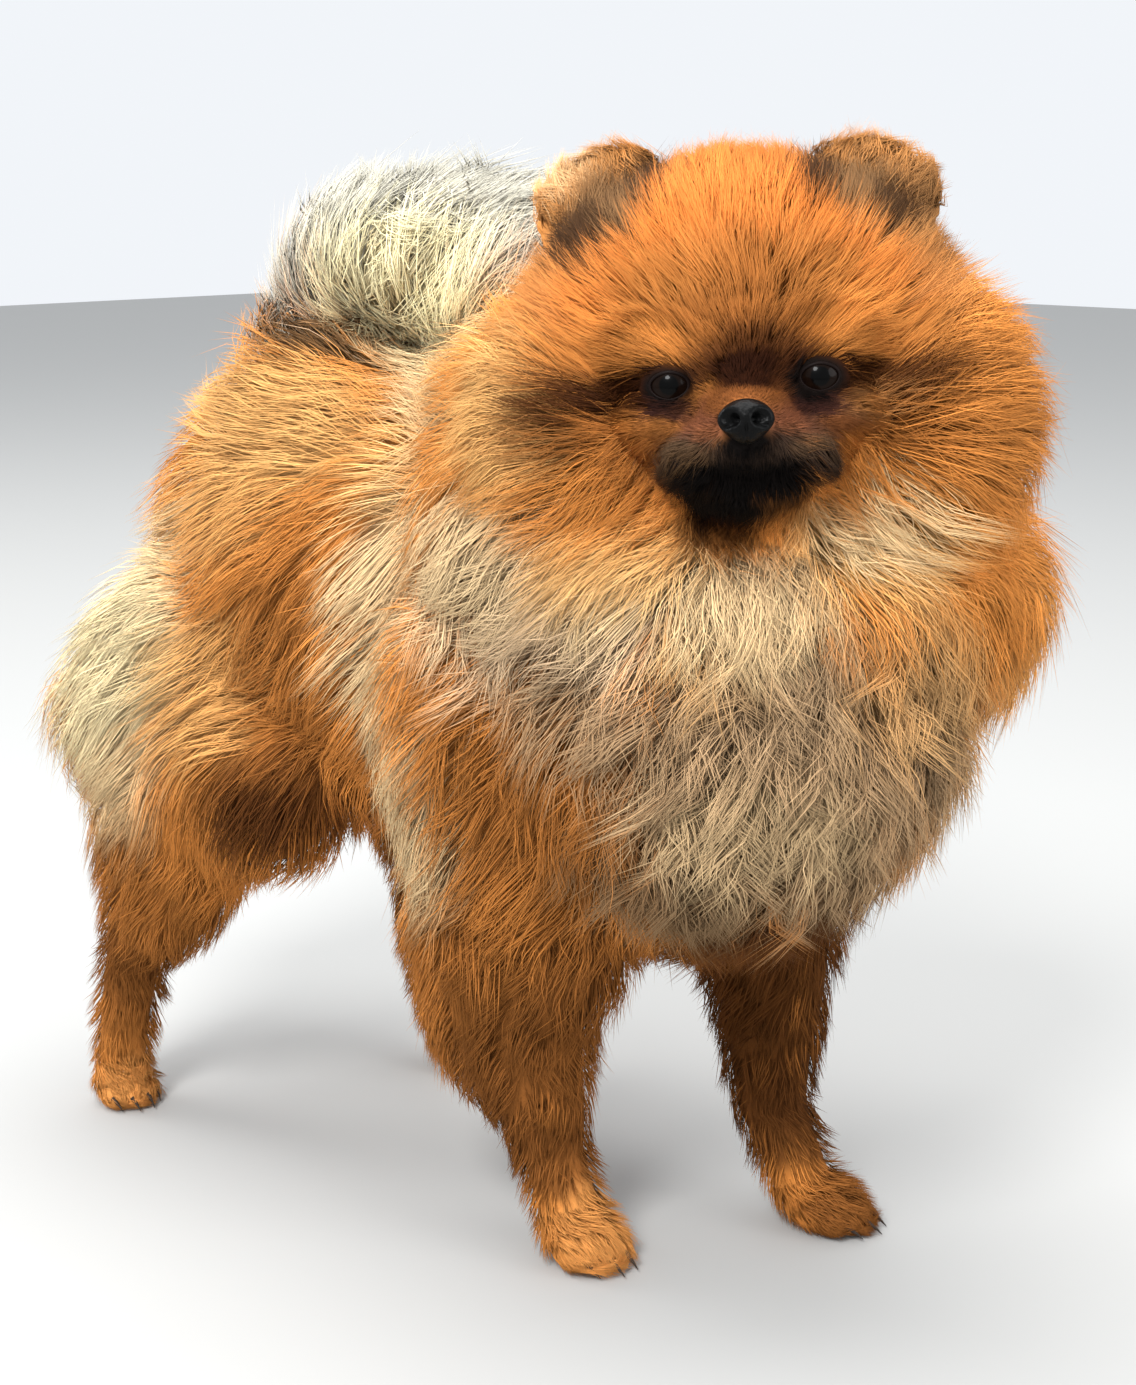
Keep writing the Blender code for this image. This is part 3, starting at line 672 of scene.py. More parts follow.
# Each mark has a place, a reach, a colour and a strength, and lies over the marks before it
markings = (
    ("body", (
        *bothSides((5.5, 6.0, 21.0), (3.5, 4.5, 2.6), "gold", 0.6),
        ((-6.0, 9.4, 15.0), (3.8, 3.6, 6.2), "cream", 0.97),
        ((5.8, 9.0, 15.4), (3.8, 3.6, 5.6), "cream", 0.97),
        ((-1.0, 12.5, 14.5), (5.0, 3.5, 5.5), "cream", 0.95),
        ((0, 5.4, 23.0), (5.4, 4.8, 3.0), "gold", 0.95),
        ((-4.5, 2.5, 23.4), (3.0, 3.5, 2.2), "gold", 0.8),
        ((-6.2, 9.8, 15.2), (2.6, 3.2, 3.4), "paleGold", 0.6),
        ((-6.2, 5.0, 14.8), (2.0, 2.4, 2.6), "gold", 0.7),
        *bothSides((5.6, 1.6, 15.6), (2.6, 2.0, 4.0), "russet", 0.85),
        ((-6.6, -3.0, 18.4), (3.0, 1.7, 6.0), "cream", 0.9),
        ((6.6, -3.6, 18.4), (3.0, 1.7, 6.0), "cream", 0.9),
        ((-7.2, -4.6, 12.6), (2.6, 2.2, 3.4), "cream", 0.95),
        ((-2.6, -3.6, 25.4), (4.6, 2.6, 2.8), "sand", 0.95),
        ((-4.4, -4.4, 25.6), (2.6, 2.0, 2.0), "gold", 0.5),
        ((-5.6, -2.2, 22.4), (2.2, 1.6, 2.2), "gold", 0.6),
        # The chest's own sable, partly painted shade: it is coloured darker because the chest lies in shade.
        ((-2.5, -15.5, 15.4), (6.4, 4.4, 5.0), "sable", 0.97),
        ((-1.0, -18.0, 17.6), (2.6, 2.6, 2.2), "gold", 0.45),
        ((4.6, -15.0, 16.4), (3.4, 3.4, 4.4), "gold", 0.6),
        ((-7.6, -8.2, 16.0), (2.6, 3.2, 3.0), "orange", 0.9),
        ((-7.2, -9.6, 13.8), (2.6, 3.4, 3.0), "russet", 0.9),
        ((7.2, -9.6, 14.5), (3.2, 3.6, 4.4), "russet", 0.8),
        ((-7.6, -10.4, 19.0), (3.0, 5.2, 2.3), "grey", 0.97),
        ((-7.4, -7.8, 20.2), (2.4, 2.6, 2.2), "cream", 0.85),
        ((6.4, -10.4, 19.0), (3.0, 4.4, 2.4), "grey", 0.85),
        ((-7.4, -12.0, 16.6), (2.4, 2.8, 1.6), "sable", 0.9),
        ((-6.0, -15.4, 18.6), (1.6, 1.8, 1.2), "gold", 0.85),
        # The next two marks are painted shade that darkens the bottom of the chest.
        ((-5.4, -13.4, 11.6), (3.4, 3.4, 1.8), "paintedShadeSmoke", 0.9),
        ((0.6, -13.6, 10.8), (4.4, 3.8, 1.9), "paintedShadeSmoke", 0.85),
        ((-4.4, -15.8, 14.2), (3.4, 2.8, 1.5), "cream", 0.5),
        ((-4.6, -15.6, 17.7), (2.6, 2.6, 1.6), "sable", 0.8),
        # The next two marks are painted shade under the chest and between the forelegs.
        ((0.2, -13.0, 9.6), (5.4, 4.6, 1.9), "paintedShadeRust", 0.95),
        ((0, -8.0, 10.0), (5.4, 4.4, 1.7), "rust", 0.9),
        ((-3.4, -6.6, 7.4), (3.0, 3.8, 5.6), "rust", 0.92),
        # Painted shade: the left foreleg is coloured darker than the right one.
        ((3.3, -9.6, 7.2), (3.1, 3.4, 6.2), "paintedShadeRust", 0.95),
        ((-5.6, -6.8, 9.4), (1.3, 2.6, 2.8), "russet", 0.35),
        ((-4.6, 8.6, 7.8), (2.4, 3.2, 3.0), "russet", 0.9),
        ((-4.6, 10.2, 4.8), (2.2, 2.2, 2.8), "rust", 0.9),
        ((4.7, 6.0, 6.0), (2.6, 3.2, 4.8), "rust", 0.9),
        # The next three marks are painted shade under the belly and along the right flank's underside.
        ((0, 4.6, 11.0), (3.6, 4.2, 3.0), "paintedShadeRust", 0.95),
        ((-5.4, 2.4, 11.4), (2.4, 3.0, 1.9), "rust", 0.95),
        ((-5.2, 2.3, 11.0), (1.9, 2.4, 1.4), "brown", 0.75),
        ((-3.0, -7.4, 3.0), (1.9, 1.9, 1.5), "rust", 0.85),
        # Painted shade: the lower left foreleg is darker than the lower right one.
        ((3.45, -10.6, 3.4), (1.9, 2.2, 2.2), "paintedShadeRust", 0.9),
        ((-4.7, 10.9, 2.4), (1.7, 1.7, 1.2), "russet", 0.7),
        ((4.9, 6.0, 2.6), (1.7, 1.7, 1.2), "russet", 0.6),
    )),
    ("fore_right", (
        ((0, -0.6, 0.9), (1.7, 1.7, 1.2), "paw", 0.97),
    )),
    ("fore_left", (
        # Painted shade: the left forepaw is rust where the other paws take the paw colour.
        ((0, -0.7, 0.8), (1.8, 2.0, 1.4), "rust", 0.95),
    )),
    ("hind_right", (
        ((0, -0.5, 0.8), (1.7, 1.8, 1.1), "paw", 0.9),
    )),
    ("hind_left", (
        ((0, -0.5, 0.8), (1.7, 1.8, 1.1), "paw", 0.9),
    )),
    ("body", (
        ((0.5, 0.2, 29.0), (6.5, 7.5, 3.6), "ivory", 1.0),
        ((0, 5.4, 27.2), (3.4, 2.8, 2.0), "ivory", 0.95),
        ((-2.8, -0.6, 27.0), (4.6, 3.8, 2.4), "paleGold", 0.97),
        # The next two marks are painted shade: a thin dark band in the crease where the tail lies on the
        # back.
        ((-2.6, 3.4, 25.5), (2.2, 2.8, 0.55), "umber", 0.95),
        ((2.8, 3.4, 25.5), (2.2, 2.8, 0.55), "umber", 0.95),
    )),
    ("head", (
        ((0, 0.8, 4.4), (4.6, 3.4, 2.2), "bright", 0.97),
        *bothSides((3.8, 2.2, 2.8), (2.4, 2.6, 1.6), "bright", 0.75),
        ((-6.6, 1.6, -0.2), (1.9, 2.6, 2.4), "gold", 0.9),
        ((6.2, 2.4, -1.8), (2.2, 2.4, 2.6), "russet", 0.3),
        ((-3.6, 1.0, -3.0), (2.4, 2.0, 1.2), "orange", 0.8),
        ((-3.4, 0.6, -4.6), (2.6, 2.4, 1.3), "gold", 0.55),
        ((3.0, 0.6, -4.4), (2.8, 2.4, 1.4), "gold", 0.8),
        ((3.3, 0.6, -3.9), (1.9, 1.8, 1.0), "cream", 0.85),
        ((-0.6, -0.4, -5.6), (2.6, 2.8, 1.5), "cream", 0.9),
        ((-3.2, 0.4, -5.4), (2.0, 2.0, 1.2), "cream", 0.7),
        ((-3.3, 0.5, -4.5), (2.0, 1.8, 0.9), "gold", 0.7),
        ((0, -0.2, 2.6), (3.6, 2.2, 1.3), "russet", 0.85),
        ((0, -0.3, 1.8), (3.4, 1.6, 0.8), "russet", 0.85),
        ((-4.8, 0.4, -0.9), (2.0, 1.7, 1.0), "chestnut", 0.8),
        ((4.2, 0.4, -1.4), (1.6, 1.7, 1.1), "chestnut", 0.65),
        ((-3.8, 0.6, 0.8), (2.6, 1.8, 0.8), "russet", 0.8),
        ((4.0, 0.6, 0.8), (2.6, 1.8, 0.8), "russet", 0.8),
        ((-3.7, 0.5, -0.15), (2.5, 2.2, 0.6), "brown", 0.95),
        ((3.7, 0.5, -0.05), (2.4, 2.2, 0.55), "brown", 0.9),
        ((0, -0.5, 1.3), (2.4, 1.6, 1.3), "chestnut", 0.6),
        ((0, -0.6, 0.7), (1.8, 1.5, 0.75), "brown", 0.9),
        ((0, -1.2, -0.6), (1.7, 1.9, 0.75), "pink", 0.97),
        ((-1.9, -0.2, -1.15), (1.4, 1.3, 0.5), "pink", 0.9),
        *bothSides((1.0, -1.4, -1.15), (0.9, 1.3, 0.5), "pink", 0.9),
        ((1.9, -0.2, -1.15), (1.4, 1.3, 0.5), "pink", 0.9),
        ((-0.1, -1.3, -0.2), (1.2, 1.4, 0.75), "chestnut", 0.85),
        ((3.2, 0.7, -0.7), (1.0, 1.6, 0.5), "umber", 0.5),
        *bothSides((2.6, -0.2, -2.0), (1.2, 1.6, 1.1), "chestnut", 0.6),
        ((0.4, 0.3, -4.5), (1.3, 1.6, 0.5), "sable", 0.5),
        ((0, -0.7, 0.3), (1.25, 1.4, 0.62), "cocoa", 0.97),
        # A brown ring round each eye: partly the dark hair there and partly painted shade next to the lids.
        *bothSides((1.8, 0.0, 0.0), (1.15, 1.2, 0.74), "brown", 0.85),
        ((-2.3, 0.2, 0.15), (1.4, 1.6, 0.5), "cocoa", 0.9),
        ((2.3, 0.2, 0.2), (1.3, 1.6, 0.45), "cocoa", 0.85),
        ((-3.5, 1.2, -0.2), (1.1, 1.9, 0.4), "cocoa", 0.7),
        ((3.5, 1.2, 0.0), (1.0, 1.9, 0.35), "cocoa", 0.5),
        *bothSides((1.85, -0.2, -0.56), (0.72, 1.2, 0.34), "plum", 0.9),
        ((-2.4, 0.1, -1.12), (1.1, 1.3, 0.36), "russet", 0.7),
        *bothSides((1.76, 0.0, -0.02), (0.74, 1.1, 0.5), "black", 0.97),
        ((0, -1.0, -1.85), (3.0, 2.2, 0.86), "soot", 0.97),
        ((0, -1.2, -2.35), (2.5, 2.4, 0.72), "black", 1.0),
        ((-1.5, -1.0, -1.64), (1.0, 1.5, 0.4), "umber", 0.45),
        ((1.6, -1.0, -1.58), (0.9, 1.5, 0.34), "umber", 0.35),
        ((0, -2.0, -1.45), (0.8, 1.1, 0.5), "black", 1.0),
        ((-0.4, -0.4, -2.95), (1.7, 1.8, 0.75), "black", 1.0),
        ((2.1, 0.2, -3.3), (0.8, 2.0, 0.45), "tan", 0.8),
        ((-0.9, -0.4, -3.7), (1.3, 1.6, 0.55), "cocoa", 0.8),
        ((-3.5, 3.2, 4.6), (2.5, 2.6, 2.0), "tan", 0.95),
        ((3.6, 3.2, 4.6), (2.5, 2.6, 1.9), "tan", 0.95),
        ((-5.2, 2.6, 2.6), (1.2, 2.4, 1.6), "tan", 0.5),
        ((5.2, 2.8, 2.8), (1.2, 2.4, 1.6), "tan", 0.6),
        ((5.2, 4.2, 4.0), (0.9, 2.0, 1.4), "umber", 0.7),
        ((-4.6, 4.0, 5.6), (1.0, 1.8, 0.8), "sand", 0.6),
        ((-3.1, 2.8, 4.5), (1.4, 2.4, 1.1), "umber", 0.95),
        ((-4.0, 2.5, 3.8), (1.15, 2.2, 0.95), "earDark", 0.97),
        ((-2.2, 2.8, 5.2), (0.75, 2.4, 0.8), "earDark", 0.97),
        ((3.1, 2.8, 4.6), (1.3, 2.4, 1.0), "umber", 0.95),
        ((4.0, 2.6, 4.1), (0.85, 2.2, 0.75), "earDark", 0.97),
        ((2.0, 2.4, 5.0), (0.6, 2.4, 1.0), "earDark", 0.97),
    )),
)


def coloursAt(points):
    deep = np.empty_like(points)
    tip = np.empty_like(points)
    deep[:], tip[:] = coatColours["orange"]
    wobble = sum(softNoise(points, size, seed) * amount for size, amount, seed in markLook["wobbles"])
    for frameName, marks in markings:
        local = into(frameName, points)
        for centre, reach, colour, strength in marks:
            far = np.linalg.norm((local - centre) / reach, axis=1) + wobble
            share = (smoothStep(*markLook["edge"], far) * strength)[:, None]
            rootTone, tipTone = coatColours[colour]
            deep += (np.array(rootTone) - deep) * share
            tip += (np.array(tipTone) - tip) * share
    return deep, tip


def pawRow(pawName):
    length, lift = (8.5, 3.2) if pawName.startswith("fore") else (8.0, 3.0)
    return (0, -0.3, 0.7), (1.2, 1.4, 0.8), (0, -0.85, -0.4), None, length, 0.48, 0.8, 0.75, lift


# How the coat lies, for each coat piece in each frame. Every row has a place, its reach, the way the
# hair runs or the point it runs away from, its length, width and wave in millimetres, how its tips
# gather, and how far they lift.
headSource = (0, -2.6, -0.9)
coatRegions = (
    ("maskCoat", "head", (
        *bothSides((1.4, -0.7, -1.8), (0.9, 1.2, 0.6), (0.85, 0.3, -0.45), None, 11.0, 0.28, 0.7, 0.35, 1.5),
        ((0, -1.7, -1.8), (0.9, 0.8, 0.5), (0, 0.1, -1), None, 3.4, 0.26, 0.1, 0.1, 1.0),
        ((0, -0.8, -2.7), (1.4, 1.2, 0.5), (0, 0.35, -0.9), None, 4.0, 0.3, 0.2, 0.2, 1.0),
        ((-0.3, -0.2, -3.2), (1.5, 1.4, 0.5), (-0.1, 0.1, -0.95), None, 10.0, 0.32, 0.7, 0.5, 1.2),
    )),
    ("faceCoat", "head", (
        ((0, -1.4, -0.4), (0.7, 1.3, 0.5), None, headSource, 2.6, 0.24, 0.1, 0.1, 1.0),
        *bothSides((1.2, -0.8, -0.9), (0.7, 1.2, 0.5), None, headSource, 4.5, 0.27, 0.2, 0.15, 1.1),
        ((0, -0.3, 0.2), (0.9, 0.7, 0.6), None, headSource, 5.0, 0.27, 0.2, 0.2, 1.1),
        ((0, 0.1, 1.1), (1.2, 0.8, 0.5), None, headSource, 9.0, 0.3, 0.3, 0.3, 1.1),
        *bothSides((2.0, 0.1, -1.1), (0.9, 0.8, 0.5), None, headSource, 6.0, 0.28, 0.2, 0.2, 1.0),
        *bothSides((1.9, 0.3, 0.9), (1.0, 0.8, 0.4), (0.75, 0.5, 0.4), None, 8.0, 0.28, 0.3, 0.3, 1.2),
        *bothSides((2.8, 0.8, -0.1), (0.6, 0.8, 0.9), (0.9, 0.45, -0.05), None, 10.0, 0.3, 0.3, 0.3, 1.1),
        *bothSides((2.3, 0.2, -2.0), (0.8, 0.9, 0.8), (0.85, 0.35, -0.3), None, 11.0, 0.3, 0.5, 0.3, 1.1),
    )),
    ("crownCoat", "head", (
        ((0, 0.9, 2.4), (2.2, 1.4, 1.2), None, headSource, 16.0, 0.36, 0.9, 0.5, 1.05),
        ((0, 3.8, 4.2), (2.8, 2.4, 1.4), None, (0, -1.5, -1.0), 22.0, 0.42, 1.2, 0.55, 1.0),
        *bothSides((3.0, 2.2, 2.0), (1.4, 1.5, 1.4), None, headSource, 21.0, 0.44, 1.0, 0.45, 1.15),
    )),
    ("cheekCoat", "head", (
        *bothSides((3.8, 2.4, -0.8), (1.5, 1.8, 1.8), None, headSource, 25.0, 0.4, 1.6, 0.6, 1.15),
        *bothSides((3.0, 1.6, -3.4), (1.6, 1.5, 1.2), (0.7, 0.15, -0.68), None, 26.0, 0.42, 2.4, 0.65, 1.15),
        ((0, 1.2, -4.4), (1.8, 1.5, 1.2), (0, -0.3, -0.95), None, 26.0, 0.42, 2.8, 0.7, 1.15),
    )),
    ("ruffCoat", "head", (
        ((0, 6.6, 1.0), (3.6, 2.0, 3.0), (0, 0.9, -0.2), None, 32.0, 0.55, 1.6, 0.5, 1.1),
    )),
    ("ruffCoat", "body", (
        ((-1.4, -6.0, 23.6), (3.2, 2.6, 2.2), (-0.1, 0.95, 0.0), None, 34.0, 0.55, 1.6, 0.5, 1.1),
        ((-5.6, -8.6, 19.8), (2.2, 3.4, 2.8), (-0.2, 0.5, -0.8), None, 32.0, 0.52, 4.2, 0.85, 1.15),
        ((4.6, -9.4, 19.6), (2.2, 3.4, 2.8), (0.25, 0.45, -0.85), None, 32.0, 0.52, 4.2, 0.85, 1.15),
    )),
    ("chestCoat", "body", (
        ((-2.4, -14.6, 18.0), (3.2, 2.0, 2.4), (-0.15, -0.1, -0.97), None, 22.0, 0.52, 6.0, 1.0, 1.3),
        ((3.4, -13.6, 17.6), (2.6, 2.0, 2.6), (0.25, 0.0, -0.96), None, 22.0, 0.52, 6.0, 1.0, 1.3),
        ((-0.6, -14.0, 14.0), (3.6, 2.2, 2.4), (0, 0.1, -1), None, 21.0, 0.54, 6.0, 1.0, 1.3),
        ((0, -9.6, 10.6), (3.2, 3.0, 1.6), (0, 0.25, -0.95), None, 24.0, 0.5, 2.4, 0.65, 1.1),
    )),
    ("sideCoat", "body", (
        ((-5.4, -7.6, 14.6), (2.0, 3.0, 3.0), (-0.1, 0.42, -0.88), None, 30.0, 0.52, 1.8, 0.6, 1.1),
        ((5.4, -8.4, 14.6), (2.0, 3.0, 3.0), (0.1, 0.42, -0.88), None, 30.0, 0.55, 1.8, 0.6, 1.1),
        ((-5.4, -1.4, 17.0), (2.0, 3.4, 3.6), (-0.05, 0.62, -0.75), None, 30.0, 0.52, 1.8, 0.6, 1.1),
        ((5.4, -1.4, 17.0), (2.0, 3.4, 3.6), (0.05, 0.62, -0.75), None, 30.0, 0.55, 1.8, 0.6, 1.1),
        ((0, -1.5, 22.6), (3.0, 4.0, 1.8), (0, 1, -0.05), None, 30.0, 0.56, 1.2, 0.5, 1.1),
        ((0, -1.0, 11.0), (3.4, 5.0, 1.6), (0, 0.6, -0.7), None, 20.0, 0.6, 1.0, 0.4, 1.1),
    )),
    ("rumpCoat", "body", (
        ((-5.2, 3.8, 16.4), (2.0, 2.6, 3.4), (-0.05, 0.62, -0.72), None, 28.0, 0.52, 1.5, 0.55, 1.1),
        ((5.2, 3.8, 16.4), (2.0, 2.6, 3.4), (0.05, 0.62, -0.72), None, 28.0, 0.55, 1.5, 0.55, 1.1),
        ((0, 4.6, 23.0), (3.2, 2.6, 1.6), (0, 0.9, 0.15), None, 28.0, 0.54, 1.2, 0.5, 1.15),
        ((0, 10.0, 19.0), (3.6, 2.6, 2.4), (0, 0.75, -0.55), None, 32.0, 0.54, 1.6, 0.5, 1.15),
        ((-4.0, 10.0, 15.0), (2.2, 2.6, 3.2), (-0.2, 0.6, -0.76), None, 32.0, 0.54, 1.8, 0.5, 1.2),
        ((4.0, 9.6, 15.0), (2.2, 2.6, 3.2), (0.2, 0.6, -0.76), None, 32.0, 0.56, 1.8, 0.5, 1.2),
        ((0, 12.0, 13.0), (2.2, 2.0, 2.6), (0, 0.5, -0.85), None, 32.0, 0.58, 1.6, 0.5, 1.1),
    )),
    ("legCoat", "body", (
        ((-5.2, 7.0, 11.2), (1.6, 3.0, 2.2), (-0.05, 0.4, -0.9), None, 22.0, 0.48, 1.0, 0.5, 1.15),
        ((5.2, 5.4, 11.2), (1.6, 3.0, 2.2), (0.05, 0.4, -0.9), None, 22.0, 0.5, 1.0, 0.5, 1.15),
        ((0, 6.0, 11.4), (2.0, 4.0, 2.0), (0, 0.35, -0.92), None, 14.0, 0.6, 0.6, 0.3, 1.0),
        ((-3.3, -6.2, 9.6), (2.2, 2.4, 2.4), (-0.05, 0.35, -0.93), None, 20.0, 0.56, 1.8, 0.65, 1.2),
        ((3.3, -9.5, 9.4), (2.0, 2.2, 2.4), (-0.02, 0.3, -0.93), None, 18.0, 0.56, 1.8, 0.65, 1.2),
        ((-3.1, -6.2, 5.6), (1.6, 1.8, 1.8), (-0.03, 0.25, -0.96), None, 14.0, 0.54, 1.4, 0.65, 1.3),
        ((3.3, -9.8, 5.4), (1.6, 1.6, 1.8), (-0.02, 0.2, -0.97), None, 13.0, 0.54, 1.4, 0.65, 1.3),
        ((-2.95, -7.1, 2.8), (1.2, 1.3, 1.0), (0, -0.15, -0.97), None, 10.0, 0.62, 0.8, 0.45, 3.0),
        ((3.4, -10.5, 2.6), (1.2, 1.3, 0.9), (0, -0.2, -0.97), None, 10.0, 0.62, 0.8, 0.45, 3.0),
        ((-4.6, 9.4, 7.6), (1.4, 2.0, 1.8), (-0.03, 0.45, -0.88), None, 14.0, 0.54, 1.2, 0.6, 1.25),
        ((4.7, 5.8, 7.6), (1.4, 2.0, 1.8), (0.03, 0.45, -0.88), None, 14.0, 0.54, 1.2, 0.6, 1.25),
        ((-4.7, 10.8, 4.0), (1.1, 1.2, 1.6), (0, 0.05, -1), None, 10.0, 0.62, 0.8, 0.45, 3.0),
        ((4.85, 6.1, 4.0), (1.1, 1.2, 1.6), (0, 0.05, -1), None, 10.0, 0.62, 0.8, 0.45, 3.0),
    )),
    *(("pawCoat", pawName, [pawRow(pawName)]) for pawName in stand["paws"]),
    ("earCoat", "head", (
        ((-3.3, 4.0, 4.9), (1.7, 0.9, 1.1), None, (-2.2, 3.0, 1.6), 14.0, 0.34, 3.0, 0.6, 1.6),
        ((3.4, 4.0, 4.8), (1.7, 0.9, 1.1), None, (2.2, 3.0, 1.6), 14.0, 0.34, 3.0, 0.6, 1.6),
    )),
    ("tailCoat", "body", (
        ((0.2, 5.6, 24.6), (1.6, 1.6, 1.6), None, (0.2, 8.0, 20.6), 26.0, 0.62, 2.4, 0.5, 1.25),
        ((0.4, 3.0, 27.0), (2.4, 2.0, 1.6), None, (0.2, 6.6, 21.6), 28.0, 0.66, 4.0, 0.6, 1.3),
        ((0.6, -0.6, 27.4), (2.8, 2.4, 1.8), None, (0.3, 4.8, 22.4), 28.0, 0.66, 4.4, 0.6, 1.25),
        ((0.8, -3.6, 27.0), (2.4, 1.8, 1.6), None, (0.5, 2.4, 23.4), 26.0, 0.62, 4.0, 0.6, 1.35),
    )),
)
lieRows = [(frameName, *row) for _, frameName, rows in coatRegions for row in rows]
lieNames = [pieceName for pieceName, _, rows in coatRegions for _ in rows]
lieBlend = {"nearest": 0.08, "power": -3.0}


def coatAt(points):
    # At each point the way the hair runs, its sizes, and the number of the row that has most say there
    weights = np.empty((len(points), len(lieRows)))
    ways = np.empty((len(points), len(lieRows), 3))
    for i, (frameName, centre, reach, way, source, *_) in enumerate(lieRows):
        local = into(frameName, points)
        far = (((local - centre) / reach) ** 2).sum(axis=1)
        weights[:, i] = (far + lieBlend["nearest"]) ** lieBlend["power"]
        run = np.broadcast_to(way, local.shape) if source is None else local - source
        ways[:, i] = turnOut(frameName, run)
    weights /= weights.sum(axis=1, keepdims=True)
    sizes = weights @ np.array([row[5:] for row in lieRows])
    return unit(np.einsum("nr,nrk->nk", weights, ways)), sizes, weights.argmax(axis=1)


coatPieces = {  # locks, rings along each lock, material slot of the record
    "faceCoat": (21000, 3, "orange_coat"),
    "maskCoat": (8000, 3, "black_mask"),
    "crownCoat": (27000, 3, "orange_coat"),
    "cheekCoat": (15500, 4, "orange_coat"),
    "ruffCoat": (12300, 4, "cream_coat"),
    "chestCoat": (15500, 4, "cream_coat"),
    "sideCoat": (13000, 4, "orange_coat"),
    "rumpCoat": (12500, 4, "cream_coat"),
    "legCoat": (19500, 3, "rust_coat"),
    "pawCoat": (9500, 3, "paw_coat"),
    "earCoat": (7500, 3, "ear_coat"),
    "tailCoat": (9500, 4, "cream_coat"),
}
coatLook = {  # metres, but the lids' reach is centimetres
    "ringPlaces": {3: (0.0, 0.45, 1.0), 4: (0.0, 0.32, 0.68, 1.0)},  # shares of a lock's length
    "ringWidths": {3: (0.0, 1.0, 0.0), 4: (0.0, 1.0, 0.78, 0.0)},
    "flat": 0.5,
    "sink": 0.0006,
    "patch": 0.003,
    "patchMargin": 0.01,
    "locksPerGather": 22,
    "leastGathers": 8,
    "offFloor": 0.0009,
    "colourPlace": 0.7,  # the share of a lock's length where it takes the colour of what it covers
    "stray": 0.0022,
    "strayFull": 20,  # millimetres of length
    "roll": 0.35,
    "leastTravel": 0.45,
    "stayOn": 0.8,
    "lidMargin": 1.12,
    "lidReach": 2.4,
    "noseMargin": 1.02,
    "seed": 11,
}
lockLook = {  # what locks that gather vary by together
    "tone": (0.15, 0.03),  # the least, and what each millimetre of wave adds
    "yaw": (0.1, 0.07),
    "lift": (0.1, 0.03),
    "mostYaw": 0.36,
    "length": 0.14,
    "lengthLimits": (0.5, 1.5),
    "phase": 0.3,
    "pull": (0.8, 0.2),  # the least, and what chance adds
    "width": (0.6, 0.4),
    "rise": 0.75,  # powers of the share of a lock's length
    "bend": 1.4,
    "waves": 0.9,  # waves along a lock
}
ownLook = {"tone": 0.08, "yaw": 0.05, "length": 0.12, "phase": 0.08}  # what each lock varies by alone
wispLook = {"share": 0.1, "tone": 0.2, "yaw": 0.3, "lift": 0.2, "loose": 0.8, "thin": 0.3}
underLook = {"share": 0.38, "from": 0.5, "overFrom": 0.88, "overSpread": 0.2}  # shorter locks beneath


def lockShape(rings):
    # One lock: a three-sided spindle, pointed at its root and at its tip
    bpy.ops.object.select_all(action="DESELECT")
    end = 0.0 if rings == 3 else 1.0
    bpy.ops.mesh.primitive_cone_add(vertices=3, radius1=1.0, radius2=end, depth=1.0, end_fill_type="TRIFAN")
    lock = bpy.context.object
    bpy.ops.object.mode_set(mode="EDIT")
    bpy.ops.mesh.select_all(action="SELECT")
    bpy.ops.mesh.quads_convert_to_tris()
    bpy.ops.mesh.normals_make_consistent(inside=False)
    bpy.ops.object.mode_set(mode="OBJECT")
    places = placesOf(lock)
    lock.data.calc_loop_triangles()
    corners = np.array([t.vertices[:] for t in lock.data.loop_triangles])
    bpy.data.objects.remove(lock)
    outer = np.hypot(places[:, 0], places[:, 1]) > 0.5
    ring = np.where(places[:, 2] < 0, outer * 1, rings - 1 - outer)
    angle = np.arctan2(places[:, 1], places[:, 0])
    width = np.array(coatLook["ringWidths"][rings])[ring] / 2
    return ring, np.cos(angle) * width, np.sin(angle) * width * coatLook["flat"], corners


def readBody(skin, rise):
    # The skin and the coat over it, as arrays that the locks are laid on
    body = SimpleNamespace()
    body.tree, body.corners = treeOf(skin)
    body.places = placesOf(skin)
    body.normals = normalsOf(skin)
    body.rise = rise
    uv = np.empty(len(skin.data.loops) * 2, np.float32)
    skin.data.uv_layers["OFBake"].data.foreach_get("uv", uv)
    loops = np.empty(len(skin.data.loop_triangles) * 3, np.int32)
    skin.data.loop_triangles.foreach_get("loops", loops)
    body.uv = uv.reshape(-1, 2)[loops].reshape(-1, 3, 2)
    p = body.places[body.corners]
    body.areas = np.linalg.norm(np.cross(p[:, 1] - p[:, 0], p[:, 2] - p[:, 0]), axis=1) / 2
    body.middles = p.mean(axis=1)
    depths = np.linalg.norm(body.rise, axis=1) * 1000
    print("coat depth in mm, least to most:", np.percentile(depths, (0, 5, 25, 50, 75, 95, 100)).round(1))
    return body


def riseAt(body, points):
    places, _, faces = nearestOn(body.tree, points)
    corners = body.corners[faces]
    near = 1 / (np.linalg.norm(body.places[corners] - places[:, None], axis=2) + 1e-5)
    near /= near.sum(axis=1, keepdims=True)
    return places, np.einsum("nk,nkj->nj", near, body.rise[corners])


def keptOffFace(world):
    # True for a point that would hang over an eye or lie in the nose
    places = into("head", world)
    drop = np.zeros(len(places), bool)
    for side in (-1, 1):
        measure, far = lidMeasure(places, side)
        drop |= (measure < coatLook["lidMargin"]) & (far < coatLook["lidReach"])
    noseReach = np.array(nose["radii"]) * coatLook["noseMargin"]
    drop |= (((places - nose["place"]) / noseReach) ** 2).sum(axis=1) < 1
    return drop


def liftOff(places):
    places[:, 2] = np.maximum(places[:, 2], coatLook["offFloor"])


